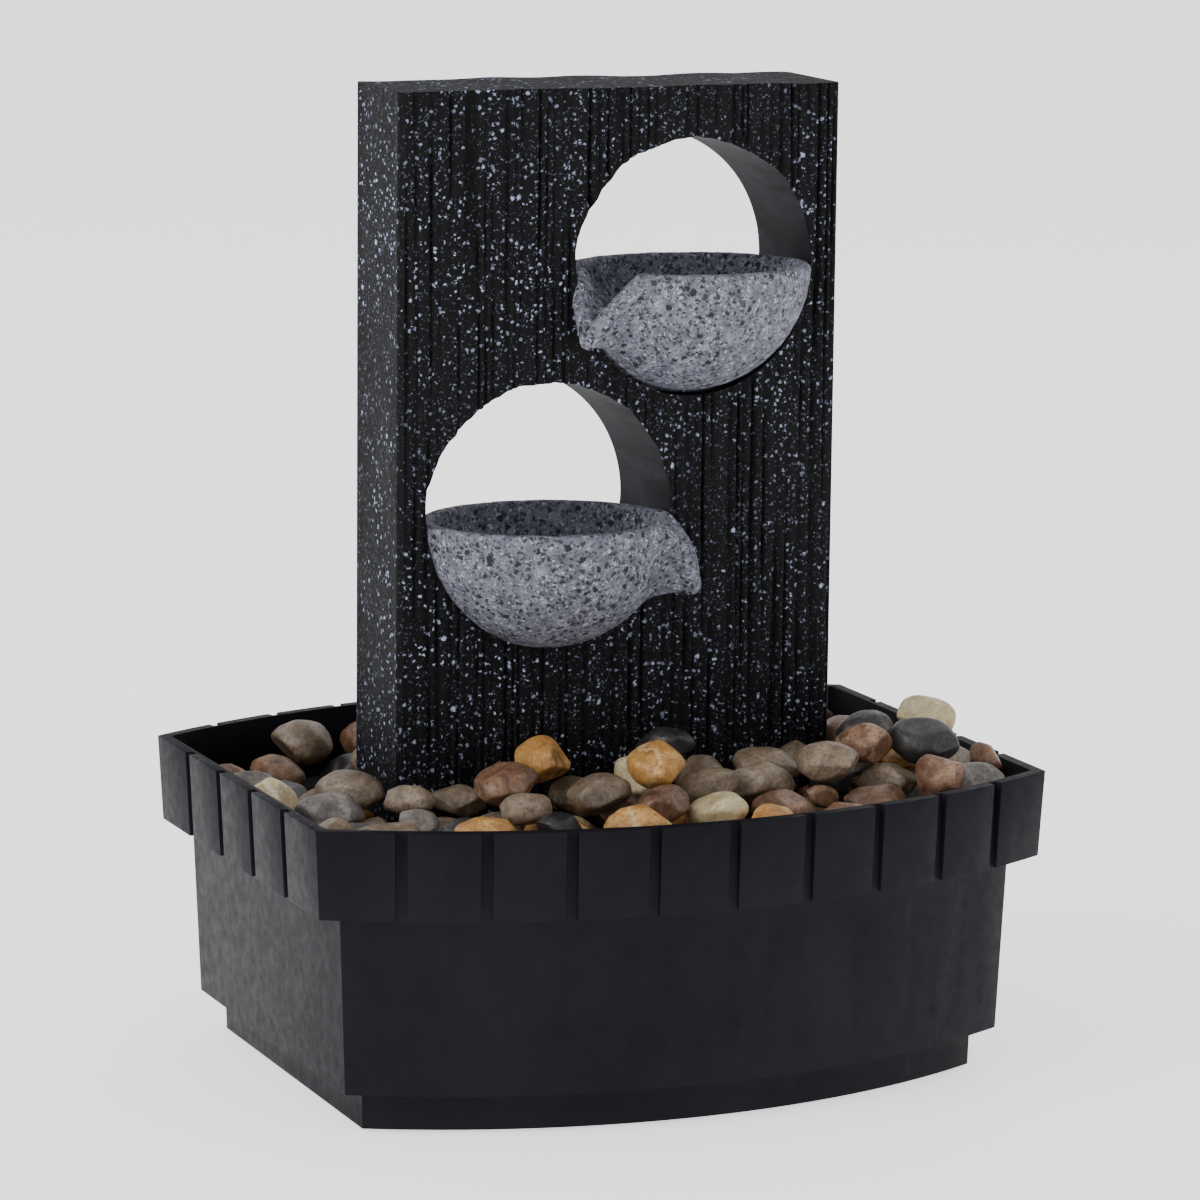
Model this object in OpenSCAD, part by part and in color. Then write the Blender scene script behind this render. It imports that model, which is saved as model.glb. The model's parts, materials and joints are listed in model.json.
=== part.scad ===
// Tabletop water fountain.
// A stepped basin holds the water and a small submersible pump. A perforated tray
// above the pump carries the river stones and a hollow stone-look tower. Two bowls
// sit in round holes through the tower: the pump lifts water to the upper bowl,
// which pours into the lower bowl, which pours onto the stones.
// Origin: middle of the footprint, on the surface the fountain stands on.
// The front faces -Y and +Z is up. Millimetres.

/* [Basin] */
// Width of the rim, side to side
rim_w = 240; // [232:1:260]
// Length of the rim's straight sides, front to back
side_l = 146; // [142:1:160]
// How far the front and back edges bow outward
bow = 32.5; // [24:0.5:40]
// Height of the top of the rim
rim_top = 95.7; // [92:0.1:100]
// Height of the rim's lower edge
rim_low = 68.8; // [66:0.1:69]
// Height of the step between plinth and body
plinth_h = 13.2; // [10:0.1:16]
// Wall thickness of the basin
basin_wall = 2.6; // [2:0.1:3]
// Number of rim blocks along the front, and along the back
blocks_long = 10; // [6:1:12]
// Number of rim blocks along each side
blocks_side = 5; // [3:1:6]

/* [Tower] */
// Width of the tower
tower_w = 145.8; // [140:0.1:150]
// Depth of the tower, front to back
tower_d = 39.4; // [37:0.1:42]
// Height of the tower's top above the table
tower_top = 305.9; // [302:0.1:312]
// Wall thickness of the tower
tower_wall = 5; // [4:0.5:6]
// Number of combed grooves down the front face
comb_count = 26; // [10:1:30]

/* [Bowls] */
// Radius of the upper hole through the tower
upper_r = 39.5; // [38:0.1:40]
// Radius of the lower hole through the tower
lower_r = 40.3; // [39:0.1:40.5]
// Wall thickness of the bowls
bowl_wall = 4.6; // [4:0.1:6]
// Radius of the upper bowl's rim, side to side
upper_bowl_r = 39.1; // [38:0.1:39.2]
// Radius of the lower bowl's rim, side to side
lower_bowl_r = 40; // [38.5:0.1:40]
// How far the upper bowl stands out in front of the tower
upper_reach = 27; // [24:0.5:32]
// How far the lower bowl stands out in front of the tower
lower_reach = 33.5; // [30:0.5:38]
// How far the spouts droop below the rims
spout_drop = 23; // [18:0.5:25]

/* [Stones] */
// Average half length of a river stone
stone_half = 8.4; // [8:0.1:9.4]
// Seed that sets how the stones fall
stone_seed = 7; // [1:1:50]

/* [Pump] */
// Width of the pump's housing
pump_w = 40; // [39:0.5:44]
// Depth of the pump's housing
pump_d = 37; // [36:0.5:40]
// Height of the pump's housing
pump_h = 38.8; // [38:0.1:42]

/* [Hidden] */

round_fn = 96;
small_fn = 48;
eps = 0.5;

// Basin: how far each outline lies inside the top edge of the rim.
rim_draft = 1.4;
rim_wall = 3.8;
body_in = 9.6;
body_draft = 2.2;
plinth_in = 18.6;
plinth_draft = 0.3;
plan_r = (rim_w * rim_w / 4 + bow * bow) / (2 * bow);
plan_c = plan_r - side_l / 2 - bow;
ledge_z = 71.3;
foot_proud = 1;
plinth_z = foot_proud;
floor_z = 4;
groove_w = 3.6;
groove_deep = 1.3;
foot_r = 7;
foot_h = 2.5;
foot_x = 70;
foot_y = 52;
notch_x = 62;
notch_r = 3.5;
notch_deep = 9;

// Tray and tower: heights of the faces they stand on.
tray_gap = 0.3;
tray_z = ledge_z + tray_gap;
tray_t = 2.5;
tray_top = tray_z + tray_t;
tray_in = 5.9;
tray_hole_r = 2.6;
line_hole_r = 7.5;
tray_pitch = 17;
post_r = 5;
post_x = 84;
post_y = 38;
tower_x = 1;
tower_y = 4.7;
tower_z = tray_top + tray_gap;
tower_round = 3;
front_y = tower_y - tower_d / 2;
back_y = tower_y + tower_d / 2;
comb_w = 1.3;
comb_deep = 1.1;

// Bowls: centres of the two holes, level of the rims.
upper_x = 25.1;
upper_z = 249;
lower_x = -22.7;
lower_z = 174.7;
upper_rim = 249.9;
lower_rim = 173.6;
bowl_back = 1;
upper_half = (tower_d + upper_reach - bowl_back) / 2;
lower_half = (tower_d + lower_reach - bowl_back) / 2;
upper_mid = back_y - bowl_back - upper_half;
lower_mid = back_y - bowl_back - lower_half;
tunnel_wall = 4;
glue_gap = 0.3;
face_gap = 0.4;
spout_angle = 68;
spout_reach = 9.5;
spout_tip = 2.6;

// The pulled lip and its channel: balls as [sideways, outward, down, radius].
lip_balls = [
    [0, -12, 10, 6], [-7, 4.5, 7, 2.6], [7, 4.5, 7, 2.6],
    [-12.5, -4, 2.5, 3], [12.5, -4, 2.5, 3]
];
channel_balls = [
    [0, -16, 5, 5], [-5.5, 6.5, -3, 3], [5.5, 6.5, -3, 3], [0, -14, -8, 8]
];

// Water line: the tube rises straight from the pump to the upper bowl.
line_x = 30;
line_y = 0;
tube_in = 4.8;
tube_out = 6.3;
tube_fit = 0.1;
boss_r = 9.5;
inlet_floor = upper_z - sqrt(pow(upper_r, 2) - pow(line_x - upper_x, 2));
flange_r = 8;
bowl_in = upper_bowl_r - bowl_wall;
boss_top = upper_rim + 0.2 - bowl_in * sqrt(1
    - pow((line_x + 6 - upper_x) / bowl_in, 2)
    - pow((line_y + 6 - upper_mid) / (upper_half - bowl_wall), 2));
nut_top = inlet_floor - tunnel_wall - 3;
nut_h = 5;
fitting_r = 5;
fitting_low = nut_top - nut_h - 12;

// Pump: a block on four suction cups, its rotor axis running front to back.
cup_h = 5;
pump_z = floor_z + cup_h;
outlet_off = 8;
pump_x = line_x - outlet_off;
axis_z = pump_z + 14.4;
pump_front = line_y - 6;
volute_r = 11.4;
volute_back = pump_front + 12;
well_r = 8.6;
well_wall = 1.2;
well_back = pump_front + 34;
coil_box = 2;
cup_x = 14;
cup_y = [pump_front + 6, pump_front + 29];
shaft_r = 1.25;
run_fit = 0.05;
cover_t = 2.5;
strainer_d = 15;
strainer_wall = 1.6;
dial_r = 8;
dial_t = 3;
nozzle_z = pump_z + pump_h;

// Stones: spaces kept free, and the chances that place and size them.
stone_gap = 0.25;
stone_wall = 6.2;
tower_space = 0.8;
chance = rands(-1, 1, 6400, stone_seed);

// ---------- shared shapes ----------

// A block with the basin's plan, drawn in by one amount below and another above.
module plan_block(in_low, in_high, z_low, z_high) {
    h = z_high - z_low;
    w_low = rim_w / 2 - in_low;
    w_high = rim_w / 2 - in_high;
    reach = side_l / 2 + bow + 1;
    translate([0, 0, z_low])
        intersection() {
            translate([0, plan_c, 0])
                cylinder(r1 = plan_r - in_low, r2 = plan_r - in_high, h = h, $fn = round_fn);
            translate([0, -plan_c, 0])
                cylinder(r1 = plan_r - in_low, r2 = plan_r - in_high, h = h, $fn = round_fn);
            translate([0, reach, 0])
                rotate([90, 0, 0])
                    linear_extrude(2 * reach)
                        polygon([[-w_low, 0], [w_low, 0], [w_high, h], [-w_high, h]]);
        }
}

// A ring: a straight tube standing on z = 0.
module ring(outer, inner, h, fn = small_fn) {
    difference() {
        cylinder(r = outer, h = h, $fn = fn);
        translate([0, 0, -eps])
            cylinder(r = inner, h = h + 2 * eps, $fn = fn);
    }
}

// A cylinder lying along +Y from y = 0.
module rod_y(r, length, fn = small_fn) {
    rotate([-90, 0, 0])
        cylinder(r = r, h = length, $fn = fn);
}

// ---------- basin ----------

// Half angle that the front outline spans, and how far round each joint lies.
span = asin((rim_w / 2) / plan_r);

module rim_grooves() {
    deep = 2 * groove_deep;
    for (i = [1 : blocks_long - 1], flip = [0, 1]) {
        a = -span + 2 * span * i / blocks_long;
        rotate(180 * flip)
            translate([0, plan_c, rim_low - eps])
                rotate(a)
                    translate([-groove_w / 2, -plan_r - groove_deep, 0])
                        cube([groove_w, deep + rim_draft, rim_top - rim_low + 2 * eps]);
    }
    for (i = [1 : blocks_side - 1], side = [-1, 1]) {
        y = -side_l / 2 + side_l * i / blocks_side;
        translate([side * rim_w / 2 - deep, y - groove_w / 2, rim_low - eps])
            cube([2 * deep, groove_w, rim_top - rim_low + 2 * eps]);
    }
}

module basin() {
    color("#26252c")
        difference() {
            union() {
                plan_block(rim_draft, 0, rim_low, rim_top);
                plan_block(body_in + body_draft, body_in, plinth_h, rim_low);
                plan_block(plinth_in + plinth_draft, plinth_in, plinth_z, plinth_h);
            }
            plan_block(rim_wall + rim_draft, rim_wall, ledge_z, rim_top + eps);
            plan_block(body_in + body_draft + basin_wall, body_in + basin_wall, plinth_h + 2,
                ledge_z + eps);
            plan_block(plinth_in + basin_wall, plinth_in + basin_wall, floor_z, plinth_h + 3);
            rim_grooves();
            for (x = [-foot_x, foot_x], y = [-foot_y, foot_y])
                translate([x, y, plinth_z - eps])
                    cylinder(r = foot_r + 0.2, h = foot_h - foot_proud + eps, $fn = small_fn);
            translate([notch_x, side_l / 2 + bow, rim_top - notch_deep])
                rotate([90, 0, 0])
                    cylinder(r = notch_r, h = 4 * rim_wall + 20, center = true, $fn = small_fn);
            translate([notch_x - notch_r, side_l / 2, rim_top - notch_deep])
                cube([2 * notch_r, bow + eps, notch_deep + eps]);
        }
}

module basin_feet() {
    color("#17171a")
        for (x = [-foot_x, foot_x], y = [-foot_y, foot_y])
            translate([x, y, 0])
                cylinder(r = foot_r, h = foot_h, $fn = small_fn);
}

// ---------- tray ----------

// Whether a drain hole at a point keeps clear of the walls, posts, cord and tower foot.
function inside_plan(p, inset) =
    abs(p[0]) < rim_w / 2 - inset && norm([p[0], abs(p[1]) + plan_c]) < plan_r - inset;
function near_foot(p) =
    abs(p[0] - tower_x) < tower_w / 2 + 4 && abs(p[1] - tower_y) < tower_d / 2 + 4;
function near_post(p) = norm([abs(p[0]) - post_x, abs(p[1]) - post_y]) < post_r + 5;
function near_cord(p) = norm([p[0] - notch_x, p[1] - side_l / 2 - 14]) < 14;
drain_holes = [
    for (i = [-6 : 6], j = [-5 : 5])
        let (p = [i * tray_pitch, j * tray_pitch + (i % 2 == 0 ? 0 : tray_pitch / 2)])
            if (inside_plan(p, 14) && !near_foot(p) && !near_post(p) && !near_cord(p)) p
];

module tower_foot_frame() {
    frame_gap = tower_wall + 0.4;
    frame_t = 2;
    frame_h = 6;
    w = tower_w - 2 * frame_gap;
    d = tower_d - 2 * frame_gap;
    translate([tower_x, tower_y, tray_top + frame_h / 2 - eps])
        difference() {
            cube([w, d, frame_h + eps], center = true);
            cube([w - 2 * frame_t, d - 2 * frame_t, frame_h + 3], center = true);
        }
}

module pebble_tray() {
    color("#2b2b30")
        difference() {
            union() {
                plan_block(tray_in, tray_in, tray_z, tray_top);
                tower_foot_frame();
                for (x = [-post_x, post_x], y = [-post_y, post_y])
                    translate([x, y, floor_z + tray_gap])
                        cylinder(r = post_r, h = tray_z - floor_z - tray_gap + eps, $fn = small_fn);
            }
            for (p = drain_holes)
                translate([p[0], p[1], tray_z - eps])
                    cylinder(r = tray_hole_r, h = tray_t + 2 * eps, $fn = 24);
            translate([line_x, line_y, tray_z - eps])
                cylinder(r = line_hole_r, h = tray_t + 2 * eps, $fn = small_fn);
            translate([notch_x, side_l / 2 + 14, tray_z - eps])
                cylinder(r = 7, h = tray_t + 2 * eps, $fn = small_fn);
        }
}

// ---------- tower ----------

// Left edge of a combed groove: even spacing with a small irregular shift.
function comb_x(i) =
    tower_x - tower_w / 2 + (i + 0.5) * tower_w / comb_count + 1.1 * sin(i * 197) - comb_w / 2;

module tower_outline(h) {
    w = tower_w / 2 - tower_round;
    d = tower_d / 2 - tower_round;
    translate([tower_x, tower_y, tower_z]) {
        translate([-w, -tower_d / 2, 0])
            cube([2 * w, tower_d, h]);
        translate([-tower_w / 2, -d, 0])
            cube([tower_w, 2 * d, h]);
        for (x = [-w, w], y = [-d, d])
            translate([x, y, 0])
                cylinder(r = tower_round, h = h, $fn = small_fn);
    }
}

module tunnel(x, z, r, grow) {
    translate([x, front_y - 1, z])
        rod_y(r + grow, tower_d + 2, round_fn);
}

module tower_cavity() {
    difference() {
        translate([tower_x - tower_w / 2 + tower_wall, front_y + tower_wall, tower_z - eps])
            cube([
                tower_w - 2 * tower_wall, tower_d - 2 * tower_wall,
                tower_top - tower_wall - tower_z + eps
            ]);
        tunnel(upper_x, upper_z, upper_r, tunnel_wall);
        tunnel(lower_x, lower_z, lower_r, tunnel_wall);
        translate([line_x, line_y, nut_top])
            cylinder(r = boss_r, h = 12, $fn = small_fn);
    }
}

module tower_shell() {
    color("#1d1c20")
        difference() {
            tower_outline(tower_top - tower_z);
            tower_cavity();
            tunnel(upper_x, upper_z, upper_r, 0);
            tunnel(lower_x, lower_z, lower_r, 0);
            translate([line_x, line_y, nut_top - eps])
                cylinder(r = fitting_r + 0.2, h = 20, $fn = small_fn);
            for (i = [0 : comb_count - 1])
                translate([comb_x(i), front_y - 1, tower_z - eps])
                    cube([comb_w, 1 + comb_deep, tower_top - tower_z + 2 * eps]);
        }
}

// ---------- bowls ----------

// A round bowl's outer or inner form, drawn in by a wall.
module bowl_form(r, half_depth, inset) {
    scale([1, (half_depth - inset) / (r - inset), 1])
        sphere(r = r - inset, $fn = round_fn);
}

// The hull of a list of balls in a spout's own frame: -Y points outward and z = 0 is
// the bowl's rim. Each ball is [sideways, outward, down, radius].
module ball_hull(balls, reach) {
    hull()
        for (b = balls)
            translate([b[0], -reach - b[1], -b[2]])
                sphere(r = b[3], $fn = 18);
}

module spout_form(reach) {
    tip = [0, spout_reach - spout_tip, spout_drop - spout_tip, spout_tip];
    ball_hull(concat(lip_balls, [tip]), reach);
}

module spout_channel(reach) {
    mouth = [0, spout_reach + 1, spout_drop - 2.5 * spout_tip, 1.6];
    ball_hull(concat(channel_balls, [mouth]), reach);
}

// Keeps what stands in front of the tower's face, or fits inside the tunnel.
module in_front_or_tunnel(r, mid_y, tunnel_r, tunnel_z) {
    intersection() {
        children();
        union() {
            translate([-2 * r, front_y - mid_y - face_gap - 4 * r, -2 * r])
                cube([4 * r, 4 * r, 4 * r]);
            translate([0, -2 * r, tunnel_z])
                rod_y(tunnel_r - glue_gap, 4 * r, round_fn);
        }
    }
}

// A bowl about its own centre; side is +1 where the lip points to +X.
// The foot, under the bowl at x = foot, rests on the tunnel's floor.
module bowl_shape(r, half_depth, mid_y, side, tunnel_r, tunnel_z, foot) {
    lip = r - 4;
    difference() {
        union() {
            in_front_or_tunnel(r, mid_y, tunnel_r, tunnel_z)
                bowl_form(r, half_depth, 0);
            intersection() {
                rotate(side * spout_angle)
                    spout_form(lip);
                translate([-2 * r, front_y - mid_y - face_gap - 4 * r, -2 * r])
                    cube([4 * r, 4 * r, 4 * r]);
            }
            intersection() {
                translate([foot, line_y - mid_y, -r])
                    cylinder(r = boss_r, h = r - 30, $fn = small_fn);
                translate([0, -2 * r, tunnel_z])
                    rod_y(tunnel_r - glue_gap, 4 * r, round_fn);
            }
        }
        bowl_form(r, half_depth, bowl_wall);
        rotate(side * spout_angle)
            spout_channel(lip);
        translate([-2 * r, -2 * r, 0])
            cube([4 * r, 4 * r, 2 * r]);
    }
}

module upper_bowl() {
    foot = line_x - upper_x;
    color("#93939f")
        difference() {
            union() {
                translate([upper_x, upper_mid, upper_rim])
                    bowl_shape(upper_bowl_r, upper_half, upper_mid, -1, upper_r,
                        upper_z - upper_rim, foot);
                translate([line_x, line_y, boss_top - 6])
                    cylinder(r = boss_r, h = 6, $fn = small_fn);
            }
            translate([line_x, line_y, inlet_floor - 3])
                cylinder(r = fitting_r + 0.2, h = 30, $fn = small_fn);
        }
}

module lower_bowl() {
    color("#93939f")
        translate([lower_x, lower_mid, lower_rim])
            bowl_shape(lower_bowl_r, lower_half, lower_mid, 1, lower_r, lower_z - lower_rim, 0);
}

// ---------- water line ----------

module bowl_inlet_fitting() {
    color("#3a3a40")
        difference() {
            union() {
                translate([line_x, line_y, fitting_low])
                    cylinder(r = tube_in - 0.02, h = nut_top - nut_h - fitting_low, $fn = small_fn);
                translate([line_x, line_y, nut_top - nut_h - 0.5])
                    cylinder(r = fitting_r, h = boss_top - nut_top + nut_h + 0.5, $fn = small_fn);
                translate([line_x, line_y, boss_top])
                    cylinder(r = flange_r, h = 2, $fn = small_fn);
            }
            translate([line_x, line_y, fitting_low - eps])
                cylinder(r = 3.2, h = boss_top - fitting_low + 3, $fn = small_fn);
        }
}

module inlet_nut() {
    color("#3a3a40")
        translate([line_x, line_y, nut_top - nut_h])
            difference() {
                cylinder(r = 9, h = nut_h, $fn = 6);
                translate([0, 0, -eps])
                    cylinder(r = fitting_r + run_fit, h = nut_h + 2 * eps, $fn = small_fn);
            }
}

module water_tube() {
    color("#d8e2e6")
        translate([line_x, line_y, nozzle_z + 3])
            ring(tube_out, tube_in, nut_top - nut_h - 1 - nozzle_z - 3);
}

// ---------- pump ----------

module pump_housing() {
    color("#1b1b1e")
        difference() {
            translate([pump_x - pump_w / 2, pump_front, pump_z])
                cube([pump_w, pump_d - cover_t, pump_h]);
            // Volute chamber, open at the front.
            translate([pump_x, pump_front - eps, axis_z])
                rod_y(volute_r, volute_back - pump_front + eps);
            // Rising outlet, tangent to the chamber.
            translate([line_x, line_y, axis_z])
                cylinder(r = 3.6, h = pump_h, $fn = small_fn);
            translate([line_x, line_y, nozzle_z - 6])
                cylinder(r = 4.5, h = 7, $fn = small_fn);
            // Rotor well and the pocket of the rear bush.
            translate([pump_x, volute_back - eps, axis_z])
                rod_y(well_r, well_back - 4 - volute_back + eps);
            translate([pump_x, well_back - 5, axis_z])
                rod_y(2.8, 4);
            // Motor bay around the well, open at the back.
            difference() {
                translate([pump_x - pump_w / 2 + coil_box, volute_back + 2, pump_z + coil_box])
                    cube([pump_w - 2 * coil_box, pump_d, pump_h - 2 * coil_box]);
                translate([pump_x, volute_back, axis_z])
                    rod_y(well_r + well_wall, well_back - volute_back);
            }
            // Seal groove round the chamber's mouth.
            translate([pump_x, pump_front - eps, axis_z])
                difference() {
                    rod_y(volute_r + 2, 1.2 + eps);
                    translate([0, -eps, 0])
                        rod_y(volute_r + 0.6, 3);
                }
            // Sockets for the studs of the suction cups.
            for (x = [-cup_x, cup_x], y = cup_y)
                translate([pump_x + x, y, pump_z - eps])
                    cylinder(r = 1.5, h = 1.5 + eps, $fn = 24);
        }
}

module pump_back_cover() {
    color("#232327")
        difference() {
            translate([pump_x - pump_w / 2, pump_front + pump_d - cover_t, pump_z])
                cube([pump_w, cover_t, pump_h]);
            translate([pump_x + 11, pump_front + pump_d - cover_t - eps, pump_z + pump_h - 8])
                rod_y(3.2, cover_t + 2 * eps);
        }
}

module volute_cover() {
    inlet_r = 6;
    hub_r = 3.6;
    color("#232327") {
        difference() {
            translate([pump_x - 15.7, pump_front - cover_t, axis_z - 13.7])
                cube([31.4, cover_t, 29.4]);
            translate([pump_x, pump_front - cover_t - eps, axis_z])
                difference() {
                    rod_y(inlet_r, cover_t + 2 * eps);
                    difference() {
                        union() {
                            rod_y(hub_r, cover_t + 2 * eps);
                            for (a = [0, 120, 240])
                                rotate([0, a, 0])
                                    translate([-0.7, 0, 0])
                                        cube([1.4, cover_t + 2 * eps, inlet_r + 1]);
                        }
                        translate([0, -eps, 0])
                            rod_y(2.6, cover_t + 3);
                    }
                }
        }
    }
}

module volute_seal_ring() {
    color("#101012")
        translate([pump_x, pump_front + 0.6, axis_z])
            rotate([90, 0, 0])
                rotate_extrude($fn = small_fn)
                    translate([volute_r + 1.3, 0])
                        circle(r = 0.58, $fn = 24);
}

module strainer_cover() {
    w = 35.2;
    h = 33.2;
    y_open = pump_front - 0.2;
    depth = strainer_d;
    wall = strainer_wall;
    pin_y = y_open - depth - dial_t - 1;
    color("#2a2a2f") {
        difference() {
            translate([pump_x - w / 2, y_open - depth, axis_z - h / 2 + 1])
                cube([w, depth, h]);
            translate([pump_x - w / 2 + wall, y_open - depth + wall, axis_z - h / 2 + 1 + wall])
                cube([w - 2 * wall, depth, h - 2 * wall]);
            // Intake slots through the front, clear of the dial, and through the sides.
            for (x = [-14.2, -11.2, 11.2, 14.2])
                translate([pump_x + x - 0.7, y_open - depth - eps, axis_z - 10])
                    cube([1.4, wall + 2 * eps, 22]);
            for (y = [3 : 2.6 : 12], side = [-1, 1])
                translate([pump_x + side * w / 2 - 3, y_open - depth + y, axis_z - 10])
                    cube([6, 1.2, 22]);
            // Flow port behind the dial: a quarter window.
            translate([pump_x + 2.8, y_open - depth - eps, axis_z + 2.8])
                cube([3.6, wall + 2 * eps, 3.6]);
        }
        translate([pump_x, pin_y, axis_z])
            rod_y(2.4, dial_t + 1.5);
    }
}

module flow_dial() {
    y = pump_front - 0.2 - strainer_d - dial_t - 0.3;
    color("#3d6f9e")
        difference() {
            union() {
                translate([pump_x, y, axis_z])
                    rod_y(dial_r, dial_t);
                translate([pump_x - 1.2, y - 1.6, axis_z + 2.9])
                    cube([2.4, 2, dial_r - 2.4]);
            }
            translate([pump_x, y - eps - 2, axis_z])
                rod_y(2.4 + run_fit, dial_t + 4);
            translate([pump_x + 2.8, y - eps, axis_z + 2.8])
                cube([3.4, dial_t + 2 * eps, 3.4]);
        }
}

module impeller() {
    blades = 6;
    color("#c9ccd1")
        translate([pump_x, pump_front + 0.8, axis_z])
            difference() {
                union() {
                    translate([0, 8, 0])
                        rod_y(10.2, 1.6);
                    rod_y(3, 9);
                    for (i = [0 : blades - 1])
                        rotate([0, i * 360 / blades, 0])
                            translate([-0.6, 0.6, 2])
                                cube([1.2, 8, 8.2]);
                }
                translate([0, -eps, 0])
                    rod_y(shaft_r + run_fit, 12);
            }
}

module magnet_rotor() {
    color("#3b3b3f")
        translate([pump_x, pump_front + 0.8 + 9.6, axis_z])
            difference() {
                rod_y(well_r - 0.8, 16);
                translate([0, -eps, 0])
                    rod_y(shaft_r + run_fit, 17);
            }
}

module rotor_shaft() {
    color("#f0efe8")
        translate([pump_x, pump_front - cover_t + 0.4, axis_z])
            rod_y(shaft_r, well_back - 1.4 - pump_front + cover_t - 0.4);
}

module shaft_bush(y, length) {
    color("#121214")
        translate([pump_x, y, axis_z])
            rotate([-90, 0, 0])
                ring(2.55, shaft_r + 0.02, length);
}

module shaft_bush_front() {
    shaft_bush(pump_front - cover_t + 0.3, 2.1);
}

module shaft_bush_rear() {
    shaft_bush(well_back - 4.4, 3);
}

module outlet_nozzle() {
    color("#232327")
        translate([line_x, line_y, nozzle_z])
            difference() {
                union() {
                    translate([0, 0, -5.6])
                        cylinder(r = 4.45, h = 6, $fn = small_fn);
                    cylinder(r = 6.5, h = 2, $fn = small_fn);
                    cylinder(r = tube_in - tube_fit, h = 14, $fn = small_fn);
                }
                translate([0, 0, -7])
                    cylinder(r = 3.3, h = 22, $fn = small_fn);
            }
}

module suction_cups() {
    color("#5b5e63")
        for (x = [-cup_x, cup_x], y = cup_y)
            translate([pump_x + x, y, floor_z])
                rotate_extrude($fn = small_fn)
                    polygon([
                        [0, 1.4], [3.4, 0.9], [5, 0], [5.6, 0], [5.2, 1], [3.2, 2.6], [2.2, 3.4],
                        [2.2, cup_h], [1.45, cup_h], [1.45, cup_h + 1.2], [0, cup_h + 1.2]
                    ]);
}

module cord_gland() {
    y = pump_front + pump_d;
    color("#141416")
        translate([pump_x + 11, y - cover_t, pump_z + pump_h - 8])
            difference() {
                union() {
                    rod_y(3.15, cover_t + 0.1);
                    translate([0, cover_t, 0])
                        rod_y(4.6, 2);
                    translate([0, cover_t + 2, 0])
                        rotate([-90, 0, 0])
                            cylinder(r1 = 4, r2 = 3, h = 7, $fn = small_fn);
                }
                translate([0, -eps, 0])
                    rod_y(1.9, cover_t + 11, 24);
            }
}

module stator_core() {
    core_y = pump_front + 16;
    core_t = 12;
    half = 16;
    color("#8b8f96")
        translate([pump_x, core_y, 0])
            difference() {
                translate([-half, 0, pump_z + coil_box + 1])
                    cube([2 * half, core_t, pump_h - 2 * coil_box - 1.6]);
                translate([0, -eps, axis_z])
                    rod_y(well_r + well_wall + 0.3, core_t + 2 * eps);
                // Gap between the poles below, window for the coils above.
                translate([-1.5, -eps, pump_z])
                    cube([3, core_t + 2 * eps, 8]);
                translate([-9.6, -eps, axis_z + 5])
                    cube([19.2, core_t + 2 * eps, pump_h - 27.4]);
            }
}

module stator_coils() {
    coil_y = pump_front + 14.6;
    coil_z = axis_z + 10.4;
    color("#a5622f")
        for (side = [-1, 1])
            translate([pump_x + side * 12.8, coil_y + 7.4, coil_z])
                difference() {
                    translate([-4.9, -7.4, 0])
                        cube([9.8, 14.8, 6]);
                    translate([-3.4, -6.1, -eps])
                        cube([6.8, 12.2, 7]);
                }
}

// ---------- river stones ----------

// A stone is [centre, support rows, half lengths, turn, kind].
// The rows are the half lengths along the stone's own turned axes.
function stone_rows(half, turn) =
    let (
        sx = sin(turn[0]), cx = cos(turn[0]),
        sy = sin(turn[1]), cy = cos(turn[1]),
        sz = sin(turn[2]), cz = cos(turn[2])
    )
    [
        half[0] * [cz * cy, sz * cy, -sy],
        half[1] * [cz * sy * sx - sz * cx, sz * sy * sx + cz * cx, cy * sx],
        half[2] * [cz * sy * cx + sz * sx, sz * sy * cx - cz * sx, cy * cx]
    ];

// Half thickness of a stone along a direction.
function half_along(rows, n) = norm(rows * n);

// Space between two stones, measured along the line between their centres.
function space(p, rows_p, q, rows_q) =
    let (d = p - q, far = norm(d), n = d / far)
    far - half_along(rows_p, n) - half_along(rows_q, n);

// Lowest height, between low and high, at which a stone clears another one.
function perch(xy, rows, other, low, high, steps) =
    let (mid = (low + high) / 2)
    steps == 0 ? high
    : space([xy[0], xy[1], mid], rows, other[0], other[1]) < stone_gap
        ? perch(xy, rows, other, mid, high, steps - 1)
        : perch(xy, rows, other, low, mid, steps - 1);

// Height at which a stone comes to rest on the tray or on the stones before it.
function settle(xy, rows, placed) =
    let (up = half_along(rows, [0, 0, 1]), far = max([for (r = rows) norm(r)]))
    max([
        tray_top + 0.1 + up,
        for (o = placed)
            if (norm([xy[0] - o[0][0], xy[1] - o[0][1]]) < far + o[2][0])
                let (low = o[0][2], high = low + up + half_along(o[1], [0, 0, 1]) + stone_gap)
                    if (space([xy[0], xy[1], low + 0.01], rows, o[0], o[1]) < stone_gap)
                        perch(xy, rows, o, low, high, 7)
    ]);

// Keeps a stone inside the rim: first the straight sides, then the bowed edges.
function off_sides(xy, rows) =
    let (limit = rim_w / 2 - stone_wall - half_along(rows, [1, 0, 0]))
    [max(-limit, min(limit, xy[0])), xy[1]];
function off_bows(xy, rows) =
    let (
        centre = [0, xy[1] > 0 ? -plan_c : plan_c],
        d = xy - centre,
        n = d / norm(d),
        limit = plan_r - stone_wall - half_along(rows, [n[0], n[1], 0])
    )
    norm(d) > limit ? centre + limit * n : xy;

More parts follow.
